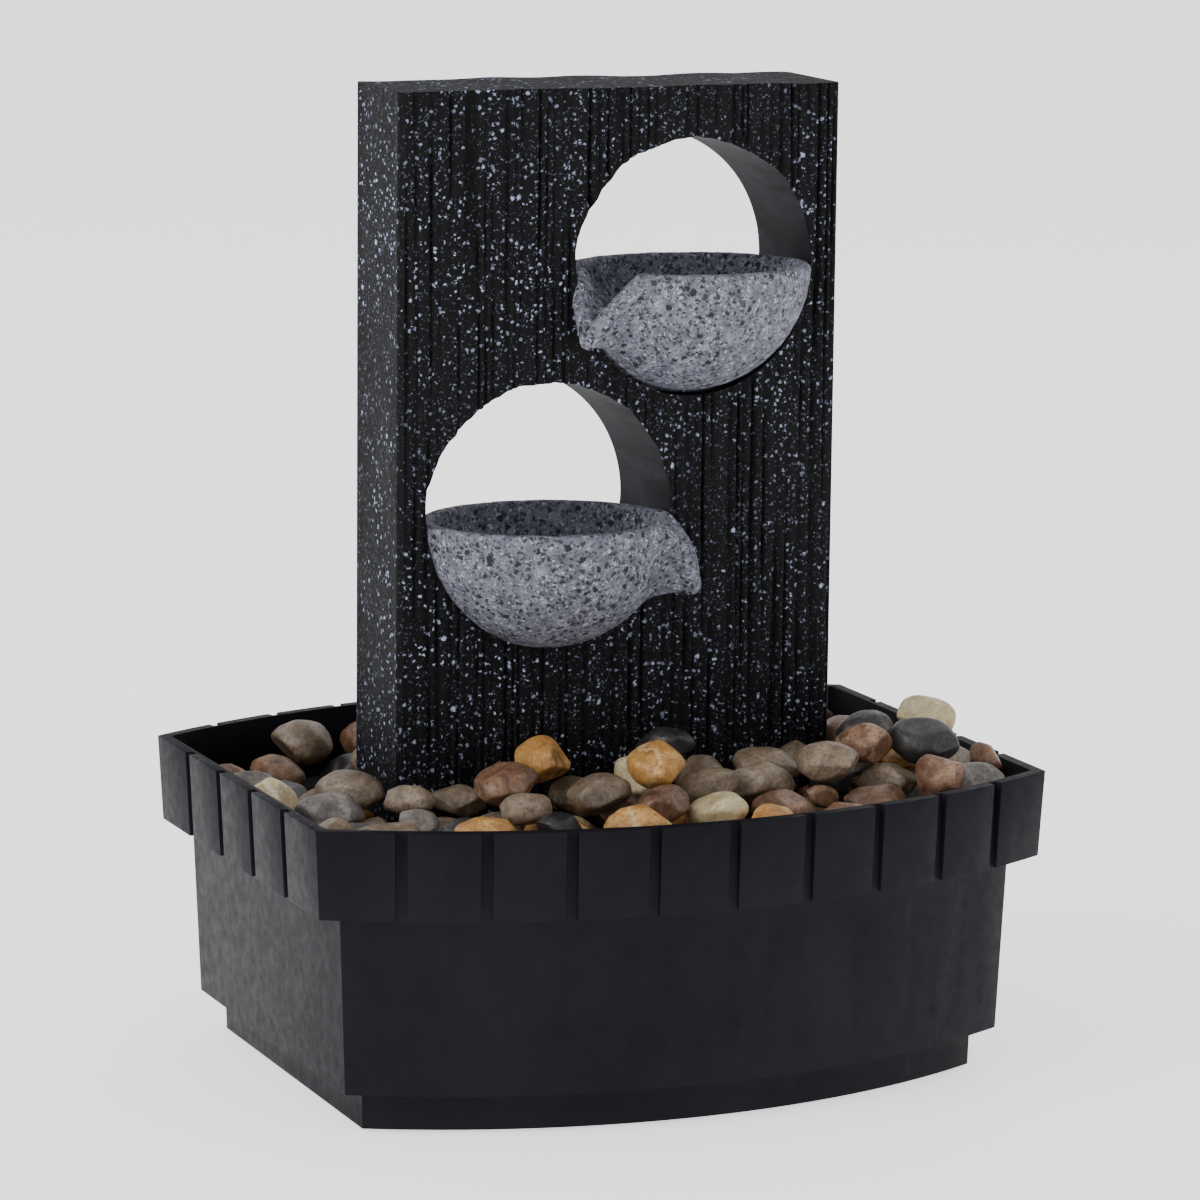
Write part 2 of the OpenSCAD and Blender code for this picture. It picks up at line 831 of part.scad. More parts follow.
// Pushes a stone out of the tower's footprint by the shorter way.
function off_tower(xy, rows) =
    let (
        d = xy - [tower_x, tower_y],
        wide = tower_w / 2 + tower_space + half_along(rows, [1, 0, 0]),
        deep = tower_d / 2 + tower_space + half_along(rows, [0, 1, 0])
    )
    abs(d[0]) >= wide || abs(d[1]) >= deep ? xy
    : wide - abs(d[0]) < deep - abs(d[1])
        ? [tower_x + sign(d[0]) * wide, xy[1]]
        : [xy[0], tower_y + sign(d[1]) * deep];

// Loose rows of points over one part of the tray.
function scatter(pitch, y_low, y_high, swell, first) = [
    for (j = [0 : floor((y_high - y_low) / (pitch * 0.87))], i = [-9 : 9])
        let (
            k = first + 20 * j + i + 9,
            x = (i + (j % 2) / 2) * pitch + chance[5 * k] * pitch * 0.42,
            y = y_low + j * pitch * 0.87 + chance[5 * k + 1] * pitch * 0.42
        )
            if (inside_plan([x, y], 12) && !under_tower([x, y]))
                [[x, y], swell, k]
];
function under_tower(p) =
    abs(p[0] - tower_x) < tower_w / 2 - 2 && abs(p[1] - tower_y) < tower_d / 2 - 2;

// The lowest of several resting centres.
function lowest(rests) =
    let (bottom = min([for (r = rests) r[2]]))
    [for (r = rests) if (r[2] == bottom) r][0];

// Rolls a stone downhill from a centre, by ever shorter steps to its lowest neighbour spot.
function roll(centre, rows, near, reach) =
    let (
        here = [centre[0], centre[1]],
        rests = [
            centre,
            for (a = [0 : 45 : 315])
                let (
                    point = here + reach * [cos(a + 9 * reach), sin(a + 9 * reach)],
                    xy = off_tower(off_bows(off_sides(point, rows), rows), rows)
                )
                    [xy[0], xy[1], settle(xy, rows, near)]
        ]
    )
    reach < stone_half / 5 ? centre : roll(lowest(rests), rows, near, reach * 0.55);

// One stone, dropped at its point and rolled to rest.
function dropped(seed, placed) =
    let (
        k = seed[2],
        size = stone_half * seed[1] * (1 + 0.42 * chance[5 * k + 2]),
        half = size * [1, 0.8 + 0.12 * chance[5 * k + 3], 0.6 + 0.1 * chance[5 * k + 4]],
        turn = [14 * chance[5 * k + 4], 14 * chance[5 * k + 3], 180 * chance[5 * k + 2] + 73 * k],
        rows = stone_rows(half, turn),
        near = [for (o = placed) if (norm([o[0][0], o[0][1]] - seed[0]) < 9 * stone_half) o],
        xy = off_tower(off_bows(off_sides(seed[0], rows), rows), rows),
        centre = roll([xy[0], xy[1], settle(xy, rows, near)], rows, near, 2.6 * stone_half)
    )
    [centre, rows, half, turn, stone_kind(centre, k)];

// Which colour a stone has: greyer to the left, warmer to the right.
function stone_kind(xy, k) =
    let (
        mix = xy[0] < -40 ? "tgtbtdatgc" : xy[0] < 20 ? "tacbtagcdb" : "btbcadbtgb",
        pick = floor(4.999 * (1 + chance[5 * k + 1]))
    )
    mix[pick];

// All the stones in the order they fall, each resting on those before it.
function pile() =
    let (
        front = tower_y - tower_d / 2,
        seeds = concat(
            scatter(stone_half * 2.3, -rim_w / 2, front - 4, 1.15, 0),
            scatter(stone_half * 2.15, front, rim_w / 2, 1, 300),
            scatter(stone_half * 2.2, -rim_w / 2 + 6, front - 14, 1, 600)
        ),
        count = len(seeds)
    )
    [
        for (
            i = 0, placed = [];
            i <= count;
            placed = i < count ? concat(placed, [dropped(seeds[i], placed)]) : placed,
            i = i + 1
        )
            if (i == count) placed
    ][0];

// Share of its size that a stone keeps, so that it touches none of the others.
function snug(stone, stones) =
    min([
        1,
        for (o = stones)
            let (d = stone[0] - o[0], far = norm(d))
                if (far > 0 && far < stone[2][0] + o[2][0] + 1)
                    (far - stone_gap) / (half_along(stone[1], d / far) + half_along(o[1], d / far))
    ]);

module pebbles(kind, paint) {
    stones = pile();
    color(paint)
        for (s = stones)
            if (s[4] == kind)
                translate(s[0])
                    rotate(s[3])
                        scale(snug(s, stones) * s[2])
                            sphere(r = 1, $fn = 32);
}

module pebbles_tan() {
    pebbles("t", "#a08a70");
}

module pebbles_brown() {
    pebbles("b", "#7a5238");
}

module pebbles_grey() {
    pebbles("g", "#77716c");
}

module pebbles_amber() {
    pebbles("a", "#b07838");
}

module pebbles_cream() {
    pebbles("c", "#cdb88c");
}

module pebbles_dark() {
    pebbles("d", "#3a3836");
}

basin();
basin_feet();
pebble_tray();
tower_shell();
upper_bowl();
lower_bowl();
bowl_inlet_fitting();
inlet_nut();
water_tube();
pump_housing();
pump_back_cover();
volute_cover();
strainer_cover();
flow_dial();
impeller();
magnet_rotor();
rotor_shaft();
shaft_bush_front();
shaft_bush_rear();
volute_seal_ring();
outlet_nozzle();
suction_cups();
cord_gland();
stator_core();
stator_coils();
pebbles_tan();
pebbles_brown();
pebbles_grey();
pebbles_amber();
pebbles_cream();
pebbles_dark();
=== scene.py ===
import json
import math

import bmesh
import bpy
import numpy as np
from mathutils import Matrix, Vector, noise

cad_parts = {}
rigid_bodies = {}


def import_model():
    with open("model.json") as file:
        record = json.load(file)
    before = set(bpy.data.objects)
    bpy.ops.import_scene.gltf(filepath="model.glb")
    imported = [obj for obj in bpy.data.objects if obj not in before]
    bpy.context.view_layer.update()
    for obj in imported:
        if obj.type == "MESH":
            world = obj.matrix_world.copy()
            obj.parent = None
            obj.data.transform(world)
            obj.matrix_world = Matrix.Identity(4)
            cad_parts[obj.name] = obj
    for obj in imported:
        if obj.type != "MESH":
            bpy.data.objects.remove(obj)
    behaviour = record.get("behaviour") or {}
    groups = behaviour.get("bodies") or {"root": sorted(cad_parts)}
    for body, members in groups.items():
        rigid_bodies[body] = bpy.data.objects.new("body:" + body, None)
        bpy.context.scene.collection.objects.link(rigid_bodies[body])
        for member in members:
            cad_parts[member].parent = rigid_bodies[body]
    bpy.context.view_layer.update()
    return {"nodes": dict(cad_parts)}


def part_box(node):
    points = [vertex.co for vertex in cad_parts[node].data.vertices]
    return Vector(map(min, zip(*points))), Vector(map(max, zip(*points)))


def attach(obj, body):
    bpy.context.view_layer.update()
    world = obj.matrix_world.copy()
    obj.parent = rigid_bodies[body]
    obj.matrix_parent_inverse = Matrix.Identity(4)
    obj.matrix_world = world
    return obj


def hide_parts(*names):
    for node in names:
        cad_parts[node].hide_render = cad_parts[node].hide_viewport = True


for left in list(bpy.data.objects):  # a new file may hold a cube, a lamp and a camera
    bpy.data.objects.remove(left)
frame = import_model()
mm = 0.001


# Camera, floor and light

view = {
    "yaw": 23.231,        # degrees from straight on, camera to the object's left
    "pitch": 10.288,      # degrees looking down
    "roll": 0.584,
    "distance": 1.60175,
    "aim": (0.0006, -0.0004, 0.14439),
    "lens": 154.23,
}


def setCamera():
    yaw, pitch, roll = (math.radians(view[k]) for k in ("yaw", "pitch", "roll"))
    ahead = Vector((math.sin(yaw) * math.cos(pitch), math.cos(yaw) * math.cos(pitch), -math.sin(pitch)))
    right = ahead.cross(Vector((0, 0, 1))).normalized()
    up = right.cross(ahead)
    across = right * math.cos(roll) + up * math.sin(roll)
    above = up * math.cos(roll) - right * math.sin(roll)
    data = bpy.data.cameras.new("fountainCamera")
    data.lens = view["lens"]
    data.sensor_width = 36
    data.clip_end = 20
    cam = bpy.data.objects.new("fountainCamera", data)
    turn = Matrix((across, above, -ahead)).transposed().to_4x4()
    cam.matrix_world = Matrix.Translation(Vector(view["aim"]) - ahead * view["distance"]) @ turn
    bpy.context.scene.collection.objects.link(cam)
    bpy.context.scene.camera = cam


studio = {
    "sky": (0.97, 0.975, 1.0),
    "skyPower": 0.85,
    "middle": (0, 0, 0.15),  # what the lamps point at
    "floor": (0.96, 0.96, 0.96),
    "floorGlow": 1.15,       # keeps the floor near white
    "floorSize": 12,
}
lamps = {  # place, size and power of each soft disc
    "keyBox": ((-1.5, -0.35, 0.95), 0.9, 12),  # left and above
    "frontBox": ((0.5, -1.9, 0.9), 1.2, 2),
    "rimBox": ((1.1, 1.2, 1.3), 0.8, 3),       # behind right, edges the tower
}


def addLight(name, place, size, power):
    data = bpy.data.lights.new(name, "AREA")
    data.shape = "DISK"
    data.size = size
    data.energy = power
    lamp = bpy.data.objects.new(name, data)
    aim = Vector(studio["middle"]) - Vector(place)
    lamp.rotation_euler = aim.to_track_quat("-Z", "Y").to_euler()
    lamp.location = place
    bpy.context.scene.collection.objects.link(lamp)


def setStudio():
    world = bpy.data.worlds.new("softRoom")
    world.use_nodes = True
    back = world.node_tree.nodes["Background"]
    back.inputs["Color"].default_value = (*studio["sky"], 1)
    back.inputs["Strength"].default_value = studio["skyPower"]
    bpy.context.scene.world = world
    for name, (place, size, power) in lamps.items():
        addLight(name, place, size, power)
    bpy.ops.mesh.primitive_plane_add(size=studio["floorSize"])
    floor = bpy.context.object
    floor.name = "paleFloor"
    paint = bpy.data.materials.new("floorPaint")
    paint.use_nodes = True
    skin = paint.node_tree.nodes["Principled BSDF"]
    skin.inputs["Base Color"].default_value = (*studio["floor"], 1)
    skin.inputs["Roughness"].default_value = 0.9
    skin.inputs["Emission Color"].default_value = (1, 1, 1, 1)
    skin.inputs["Emission Strength"].default_value = studio["floorGlow"]
    floor.data.materials.append(paint)


setCamera()
setStudio()
print("camera and studio set")


# Shader helpers

class Shader:  # one material's node tree, with short calls for the nodes that repeat
    def __init__(self, name, roughness, **fixed):
        self.material = bpy.data.materials.new(name)
        self.material.use_nodes = True
        self.tree = self.material.node_tree
        self.skin = self.tree.nodes["Principled BSDF"]
        self.skin.inputs["Roughness"].default_value = roughness
        for socket, value in fixed.items():
            self.skin.inputs[socket.replace("_", " ")].default_value = value
        self.place = self.add("ShaderNodeTexCoord").outputs["Object"]

    def add(self, kind, inputs=None, **settings):
        node = self.tree.nodes.new(kind)
        for key, value in settings.items():
            setattr(node, key, value)
        for key, value in (inputs or {}).items():
            if isinstance(value, bpy.types.NodeSocket):
                self.tree.links.new(value, node.inputs[key])
            else:
                node.inputs[key].default_value = value
        return node

    def set(self, socket, value):
        self.tree.links.new(value, self.skin.inputs[socket])

    def noise(self, scale, detail=4, rough=0.55, at=None, distortion=0.0):
        inputs = {"Vector": at or self.place, "Scale": scale, "Detail": detail, "Roughness": rough,
                  "Distortion": distortion}
        return self.add("ShaderNodeTexNoise", inputs).outputs["Fac"]

    def math(self, operation, a, b=0.0, clamp=False):
        return self.add("ShaderNodeMath", {0: a, 1: b}, operation=operation, use_clamp=clamp).outputs[0]

    def ramp(self, value, *stops):  # stops are (place, colour or grey)
        node = self.add("ShaderNodeValToRGB", {"Fac": value})
        band = node.color_ramp
        while len(band.elements) < len(stops):
            band.elements.new(0.5)
        for element, (place, tone) in zip(band.elements, stops):
            element.position = place
            element.color = (*tone, 1) if isinstance(tone, tuple) else (tone, tone, tone, 1)
        return node.outputs["Color"]

    def mix(self, share, a, b, blend="MIX"):
        node = self.add("ShaderNodeMix", {"Factor": share}, data_type="RGBA", blend_type=blend)
        for name, value in (("A", a), ("B", b)):
            socket = next(s for s in node.inputs if s.name == name and s.type == "RGBA")
            if isinstance(value, bpy.types.NodeSocket):
                self.tree.links.new(value, socket)
            else:
                socket.default_value = (*value, 1)
        return next(s for s in node.outputs if s.type == "RGBA")

    def bump(self, height, strength, depth, under=None):
        inputs = {"Height": height, "Strength": strength, "Distance": depth}
        if under:
            inputs["Normal"] = under
        node = self.add("ShaderNodeBump", inputs)
        self.set("Normal", node.outputs["Normal"])
        return node.outputs["Normal"]

    def shifted(self, amount, scale):  # coordinates pushed about by noise, for ragged outlines
        wobble = self.add("ShaderNodeTexNoise", {"Vector": self.place, "Scale": scale, "Detail": 2})
        offset = self.add("ShaderNodeVectorMath", {0: wobble.outputs["Color"], 1: (0.5, 0.5, 0.5)},
                          operation="SUBTRACT").outputs[0]
        scaled = self.add("ShaderNodeVectorMath", {0: offset, "Scale": amount}, operation="SCALE")
        return self.add("ShaderNodeVectorMath", {0: self.place, 1: scaled.outputs[0]},
                        operation="ADD").outputs[0]

    def specks(self, scale, radius, share, at=None):  # 1 inside the scattered dots, 0 outside
        cell = self.add("ShaderNodeTexVoronoi", {"Vector": at or self.place, "Scale": scale})
        luck = self.add("ShaderNodeSeparateColor", {"Color": cell.outputs["Color"]})
        reach = self.math("MULTIPLY", luck.outputs["Green"], radius)
        inside = self.math("SUBTRACT", reach, cell.outputs["Distance"])
        edge = self.math("MULTIPLY", inside, 9.0, clamp=True)
        chosen = self.math("LESS_THAN", luck.outputs["Red"], share)
        return self.math("MULTIPLY", edge, chosen)


# Materials

basinLook = {
    "black": (0.0046, 0.0044, 0.0068),
    "worn": (0.0095, 0.0091, 0.0132),
    "roughness": 0.55,
    "grain": 1500,
}


def makeBasinPlastic():
    s = Shader("basinPlastic", basinLook["roughness"], Specular_IOR_Level=0.08)
    cloud = s.noise(22, 5, 0.6)
    fine = s.noise(basinLook["grain"], 3, 0.6)
    tone = s.mix(s.ramp(cloud, (0.35, 0.0), (0.75, 0.8)), basinLook["black"], basinLook["worn"])
    s.set("Base Color", s.mix(s.math("MULTIPLY", fine, 0.25), tone, basinLook["worn"]))
    streak = s.noise(260, 3, 0.6)
    s.set("Roughness", s.ramp(streak, (0.3, 0.44), (0.7, 0.58)))
    low = s.bump(cloud, 0.25, 0.0006)
    s.bump(fine, 0.35, 0.00012, low)
    return s.material


towerLook = {
    "body": (0.0028, 0.0027, 0.0031),
    "ridge": (0.0085, 0.0082, 0.0098),
    "spatter": (0.15, 0.165, 0.24),
    "bright": (0.42, 0.47, 0.64),
    # painted shade: the colour the grooves are darkened towards, standing in for the shade in them
    "deep": (0.0008, 0.0008, 0.0009),
}


def spatterPaint(s, base, groove):
    ragged = s.shifted(0.0018, 1000)
    patch = s.ramp(s.noise(24, 4, 0.65), (0.36, 0.12), (0.66, 1.0))
    # painted shade: the spatter is thinned where the groove shade mask is strong, so the grooves stay dark
    onRidge = s.math("SUBTRACT", 1.0, s.math("MULTIPLY", groove, 0.85))
    faint = s.noise(330, 3, 0.6)
    dust = s.math("MULTIPLY", s.specks(1250, 0.5, 0.6, ragged), s.math("MULTIPLY", faint, 0.8))
    drops = s.math("MULTIPLY", s.specks(640, 0.46, 0.5, ragged), s.math("MULTIPLY", patch, faint))
    blots = s.math("MULTIPLY", s.specks(330, 0.36, 0.2, ragged), onRidge)
    tone = s.mix(s.math("MULTIPLY", dust, onRidge), base, towerLook["spatter"])
    strong = s.math("MULTIPLY", drops, s.math("MULTIPLY", onRidge, 1.9), clamp=True)
    tone = s.mix(strong, tone, towerLook["bright"])
    return s.mix(s.math("MULTIPLY", blots, 0.8), tone, towerLook["bright"]), blots


def makeTowerStone():
    s = Shader("towerStone", 0.7, Specular_IOR_Level=0.12)
    rough = s.noise(420, 5, 0.65)
    pits = s.noise(1300, 3, 0.6)
    groove = s.add("ShaderNodeAttribute", attribute_name="groove").outputs["Fac"]
    base = s.mix(s.ramp(rough, (0.4, 0.0), (0.72, 1.0)), towerLook["body"], towerLook["ridge"])
    # painted shade: the grooves are darkened towards the deep colour the deeper they go
    base = s.mix(groove, base, towerLook["deep"])
    tone, blots = spatterPaint(s, base, groove)
    s.set("Base Color", tone)
    s.set("Roughness", s.ramp(rough, (0.3, 0.55), (0.7, 0.8)))
    low = s.bump(rough, 0.55, 0.0006)
    low = s.bump(pits, 0.5, 0.0002, low)
    s.bump(blots, 0.3, 0.00015, low)
    return s.material


tunnelLook = {
    "dark": (0.0035, 0.0035, 0.005),
    "smear": (0.022, 0.021, 0.032),
}


def makeTunnelSkin():
    s = Shader("tunnelSkin", 0.6, Specular_IOR_Level=0.06)
    long = s.add("ShaderNodeMapping", {"Vector": s.shifted(0.012, 60), "Scale": (1.0, 0.28, 1.0)})
    smear = s.noise(70, 5, 0.62, long.outputs[0], 1.2)
    fine = s.noise(500, 4, 0.6, long.outputs[0])
    share = s.ramp(smear, (0.44, 0.0), (0.66, 1.0))
    tone = s.mix(share, tunnelLook["dark"], tunnelLook["smear"])
    tone = s.mix(s.math("MULTIPLY", fine, 0.3), tone, tunnelLook["smear"])
    s.set("Base Color", tone)
    s.bump(fine, 0.3, 0.0003)
    return s.material


bowlLook = {
    "grey": (0.135, 0.137, 0.174),
    "pale": (0.26, 0.265, 0.325),
    "shade": (0.085, 0.086, 0.112),
    "speck": (0.010, 0.010, 0.013),
    "white": (0.52, 0.53, 0.62),
}


def makeBowlGranite():
    s = Shader("bowlGranite", 0.75)
    ragged = s.shifted(0.0022, 620)
    cloud = s.noise(330, 5, 0.72)
    base = s.ramp(cloud, (0.34, bowlLook["shade"]), (0.5, bowlLook["grey"]), (0.68, bowlLook["pale"]))
    white = s.specks(950, 0.6, 0.5, ragged)
    fine = s.specks(1050, 0.66, 0.85, ragged)
    medium = s.specks(640, 0.6, 0.8, ragged)
    large = s.specks(380, 0.5, 0.55, ragged)
    tone = s.mix(s.math("MULTIPLY", white, 0.6), base, bowlLook["white"])
    tone = s.mix(s.math("MULTIPLY", fine, 0.7), tone, bowlLook["speck"])
    tone = s.mix(s.math("MULTIPLY", medium, 0.85), tone, bowlLook["speck"])
    tone = s.mix(large, tone, bowlLook["speck"])
    s.set("Base Color", tone)
    dark = s.math("MULTIPLY", s.math("ADD", large, s.math("MULTIPLY", medium, 0.6)), 0.4)
    s.bump(s.math("SUBTRACT", s.noise(1100, 4, 0.6), dark), 0.55, 0.0003)
    return s.material


def makePlastic(name, colour, roughness, grain=900, **fixed):
    s = Shader(name, roughness, **fixed)
    fine = s.noise(grain, 3, 0.6)
    cloud = s.noise(60, 3, 0.5)
    darker = tuple(0.72 * c for c in colour)
    s.set("Base Color", s.mix(cloud, darker, colour))
    s.bump(fine, 0.25, 0.0001)
    return s.material


def makeLaminations():
    s = Shader("laminationSteel", 0.35, Metallic=1.0)
    sheets = s.add("ShaderNodeTexWave", {"Vector": s.place, "Scale": 320, "Distortion": 0.3},
                   bands_direction="Y")
    s.set("Base Color", s.mix(sheets.outputs["Fac"], (0.12, 0.12, 0.13), (0.5, 0.51, 0.54)))
    s.bump(sheets.outputs["Fac"], 0.4, 0.0002)
    return s.material


def makeWinding():
    s = Shader("copperWinding", 0.3, Metallic=0.9)
    turns = s.add("ShaderNodeTexWave", {"Vector": s.place, "Scale": 520, "Distortion": 0.2},
                  bands_direction="Z")
    s.set("Base Color", s.mix(turns.outputs["Fac"], (0.16, 0.05, 0.02), (0.72, 0.3, 0.12)))
    s.bump(turns.outputs["Fac"], 0.5, 0.00015)
    return s.material


stoneTones = {  # each: darkest, middle, palest, vein
    "pebbles_tan": ((0.085, 0.06, 0.04), (0.24, 0.17, 0.11), (0.42, 0.33, 0.23), (0.55, 0.46, 0.34)),
    "pebbles_brown": ((0.05, 0.024, 0.013), (0.15, 0.075, 0.042), (0.30, 0.17, 0.10), (0.45, 0.30, 0.20)),
    "pebbles_grey": ((0.06, 0.05, 0.044), (0.16, 0.135, 0.118), (0.31, 0.27, 0.235), (0.45, 0.41, 0.37)),
    "pebbles_amber": ((0.16, 0.065, 0.016), (0.42, 0.205, 0.05), (0.63, 0.38, 0.13), (0.72, 0.55, 0.30)),
    "pebbles_cream": ((0.34, 0.24, 0.11), (0.62, 0.50, 0.28), (0.78, 0.69, 0.46), (0.86, 0.81, 0.66)),
    "pebbles_dark": ((0.010, 0.0095, 0.01), (0.028, 0.026, 0.027), (0.08, 0.072, 0.07), (0.2, 0.17, 0.15)),
}


def makeStone(name, tones):
    s = Shader(name.replace("pebbles_", "stone_"), 0.4)
    seed = s.add("ShaderNodeAttribute", attribute_name="stoneSeed").outputs["Fac"]
    drift = s.add("ShaderNodeCombineXYZ", {"X": seed, "Y": s.math("MULTIPLY", seed, 1.7),
                                           "Z": s.math("MULTIPLY", seed, 0.6)})
    own = s.add("ShaderNodeVectorMath", {0: s.place, 1: drift.outputs[0]}, operation="ADD").outputs[0]
    cloud = s.noise(85, 7, 0.66, own, 0.8)
    blotch = s.noise(240, 5, 0.7, own)
    grain = s.noise(900, 4, 0.7, own)
    band = s.add("ShaderNodeTexWave", {"Vector": own, "Scale": 26, "Distortion": 5.0, "Detail": 5,
                                       "Detail Scale": 2.2, "Detail Roughness": 0.7}).outputs["Fac"]
    tone = s.ramp(cloud, (0.33, tones[0]), (0.5, tones[1]), (0.68, tones[2]))
    veined = s.math("GREATER_THAN", s.math("FRACT", s.math("MULTIPLY", seed, 3.17)), 0.55)
    vein = s.math("MULTIPLY", s.ramp(band, (0.86, 0.0), (0.99, 0.5)), veined)
    tone = s.mix(vein, tone, tones[3])
    tone = s.mix(s.ramp(blotch, (0.48, 0.0), (0.68, 0.7)), tone, tones[2])
    tone = s.mix(s.ramp(grain, (0.48, 0.0), (0.68, 0.75)), tone, tones[0])
    lift = s.ramp(s.math("FRACT", s.math("MULTIPLY", seed, 7.31)), (0.0, 0.6), (1.0, 1.25))
    s.set("Base Color", s.mix(1.0, tone, lift, "MULTIPLY"))
    s.set("Roughness", s.ramp(grain, (0.3, 0.34), (0.7, 0.55)))
    low = s.bump(blotch, 0.35, 0.0005)
    s.bump(grain, 0.4, 0.00016, low)
    return s.material


basinPlastic = makeBasinPlastic()
towerStone = makeTowerStone()
tunnelSkin = makeTunnelSkin()
bowlGranite = makeBowlGranite()
print("main materials made")


# Pieces from the frame

def cadCopy(node, name):  # a merged, editable copy of one CAD node
    source = frame["nodes"][node]
    mesh = source.data.copy()
    mesh.materials.clear()
    piece = bpy.data.objects.new(name, mesh)
    bpy.context.scene.collection.objects.link(piece)
    sheet = bmesh.new()
    sheet.from_mesh(mesh)
    bmesh.ops.remove_doubles(sheet, verts=sheet.verts, dist=0.000004)
    sheet.to_mesh(mesh)
    sheet.free()
    return piece


def newPiece(name, points, faces, material):
    mesh = bpy.data.meshes.new(name)
    mesh.from_pydata([tuple(p) for p in points], [], [tuple(f) for f in faces])
    mesh.update()
    mesh.materials.append(material)
    piece = bpy.data.objects.new(name, mesh)
    bpy.context.scene.collection.objects.link(piece)
    return piece


def bake(piece):  # the evaluated mesh becomes the piece's own, and its modifiers go
    bpy.context.view_layer.update()
    graph = bpy.context.evaluated_depsgraph_get()
    mesh = bpy.data.meshes.new_from_object(piece.evaluated_get(graph), depsgraph=graph)
    piece.modifiers.clear()
    piece.data = mesh
    return piece


def smoothShade(piece, angle):
    piece.data.shade_smooth()
    piece.data.set_sharp_from_angle(angle=math.radians(angle))


def placePiece(piece, body, slot, *nodes):
    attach(piece, body)
    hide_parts(*nodes)


# The basin, with its edges eased

basinShape = {
    "ease": 0.0007,
    "steps": 2,
    "flat": 0.6,     # degrees; flatter edges than this are dissolved
    "sharp": 32,     # degrees; edges sharper than this are eased
    "shade": 40,
}


def makeBasin():
    basin = cadCopy("basin", "basinBody")
    basin.data.materials.append(basinPlastic)
    sheet = bmesh.new()
    sheet.from_mesh(basin.data)
    bmesh.ops.dissolve_limit(sheet, angle_limit=math.radians(basinShape["flat"]),
                             verts=sheet.verts, edges=sheet.edges)
    sheet.to_mesh(basin.data)
    sheet.free()
    ease = basin.modifiers.new("ease", "BEVEL")
    ease.width = basinShape["ease"]
    ease.segments = basinShape["steps"]
    ease.limit_method = "ANGLE"
    ease.angle_limit = math.radians(basinShape["sharp"])
    bake(basin)
    smoothShade(basin, basinShape["shade"])
    placePiece(basin, "base", "basin_plastic", "basin")


makeBasin()
print("basin made")


# The bowls: a distance field, netted into a mesh

bowls = {  # in mm; "side" is the spout's, "tunnel" the hole's height over the rim and its radius
    "upper_bowl": {
        "side": -1,
        "radius": 39.1,
        "halfDepth": 32.7,
        "foot": 4.9,     # how far the foot stands off the bowl's middle
        "tunnel": (-0.9, 39.5),
        "bulge": 1.6,    # how far the lip's edge bows out
        "lip": 2.8,
    },
    "lower_bowl": {
        "side": 1,
        "radius": 40.0,
        "halfDepth": 35.95,
        "foot": 0.0,
        "tunnel": (1.1, 40.3),
        "bulge": 4.6,
        "lip": 3.3,
    },
}
bowlForm = {  # in mm
    "wall": 4.3,
    "wallBlend": 1.2,
    "rimBlend": 1.4,
    "turn": 68,          # degrees from straight forward to the spout
    "spread": 12.6,      # half the spout's width where it leaves the rim
    "nearIn": 5.0,       # how far inside the rim the lip's two edges start
    "farIn": 3.2,
    "tipOut": 5.0,
    "tipDrop": 20.6,
    "keelIn": 7.5,
    "keelDrop": 22.5,
    "bow": (0.8, 0.7),   # how the lip's bulge is shared outward and upward
    "lipSteps": 6,
    "lipBlend": 0.6,
    "plate": 2.0,        # half the thickness of the spout's cheeks
    "throatIn": 13,      # the spout's channel starts this far from the middle
    "throatBlend": 1.5,
    "spoutBlend": 2.6,
    "seam": 0.3,         # how close the bowl comes to its tunnel
    "seamBlend": 0.6,
    "foot": 9.5,         # radius of the foot and of the boss above it
    "footDrop": 30,
    "footBlend": 1.5,
    "bossHalf": 3,
    "bossBlend": 1.0,
    "beadIn": 6,         # the glue bead that closes the bowl to its tunnel
    "beadHalf": 2,
    "beadHigh": 3,
    "beadDrop": 1.5,
    "beadBlend": 1.2,
}
bowlNet = {  # in mm, but for the noise
    "step": 0.85,
    "before": (12, 16, 6),
    "beyond": (12, 12, 4),
    "smooths": 4,
    "cast": 0.16,        # height of the casting's unevenness
    "castScale": 240,
    "fineScale": 700,
    "fineShare": 0.6,
}


def smoothMin(a, b, blend):
    share = np.clip(0.5 + 0.5 * (b - a) / blend, 0, 1)
    return b + (a - b) * share - blend * share * (1 - share)


def smoothMax(a, b, blend):
    return -smoothMin(-a, -b, blend)


def toEllipsoid(p, radii):
    radii = np.array(radii)
    near = np.linalg.norm(p / radii, axis=-1)
    steep = np.linalg.norm(p / radii ** 2, axis=-1)
    return near * (near - 1) / np.maximum(steep, 1e-6)


def toRod(p, a, b, radius):
    a, b = np.array(a, float), np.array(b, float)
    along = np.clip(((p - a) @ (b - a)) / ((b - a) @ (b - a)), 0, 1)
    gap = np.linalg.norm(p - a - along[..., None] * (b - a), axis=-1)
    return gap - radius


def toTriangle(p, a, b, c):
    a, b, c = (np.array(q, float) for q in (a, b, c))
    normal = np.cross(b - a, c - a)
    normal /= np.linalg.norm(normal)
    over = np.ones(p.shape[:-1], bool)
    edges = np.full(p.shape[:-1], 1e9)
    for start, end in ((a, b), (b, c), (c, a)):
        side = np.cross(normal, end - start)
        over &= (p - start) @ side >= 0
        edges = np.minimum(edges, toRod(p, start, end, 0))
    return np.where(over, np.abs((p - a) @ normal), edges)


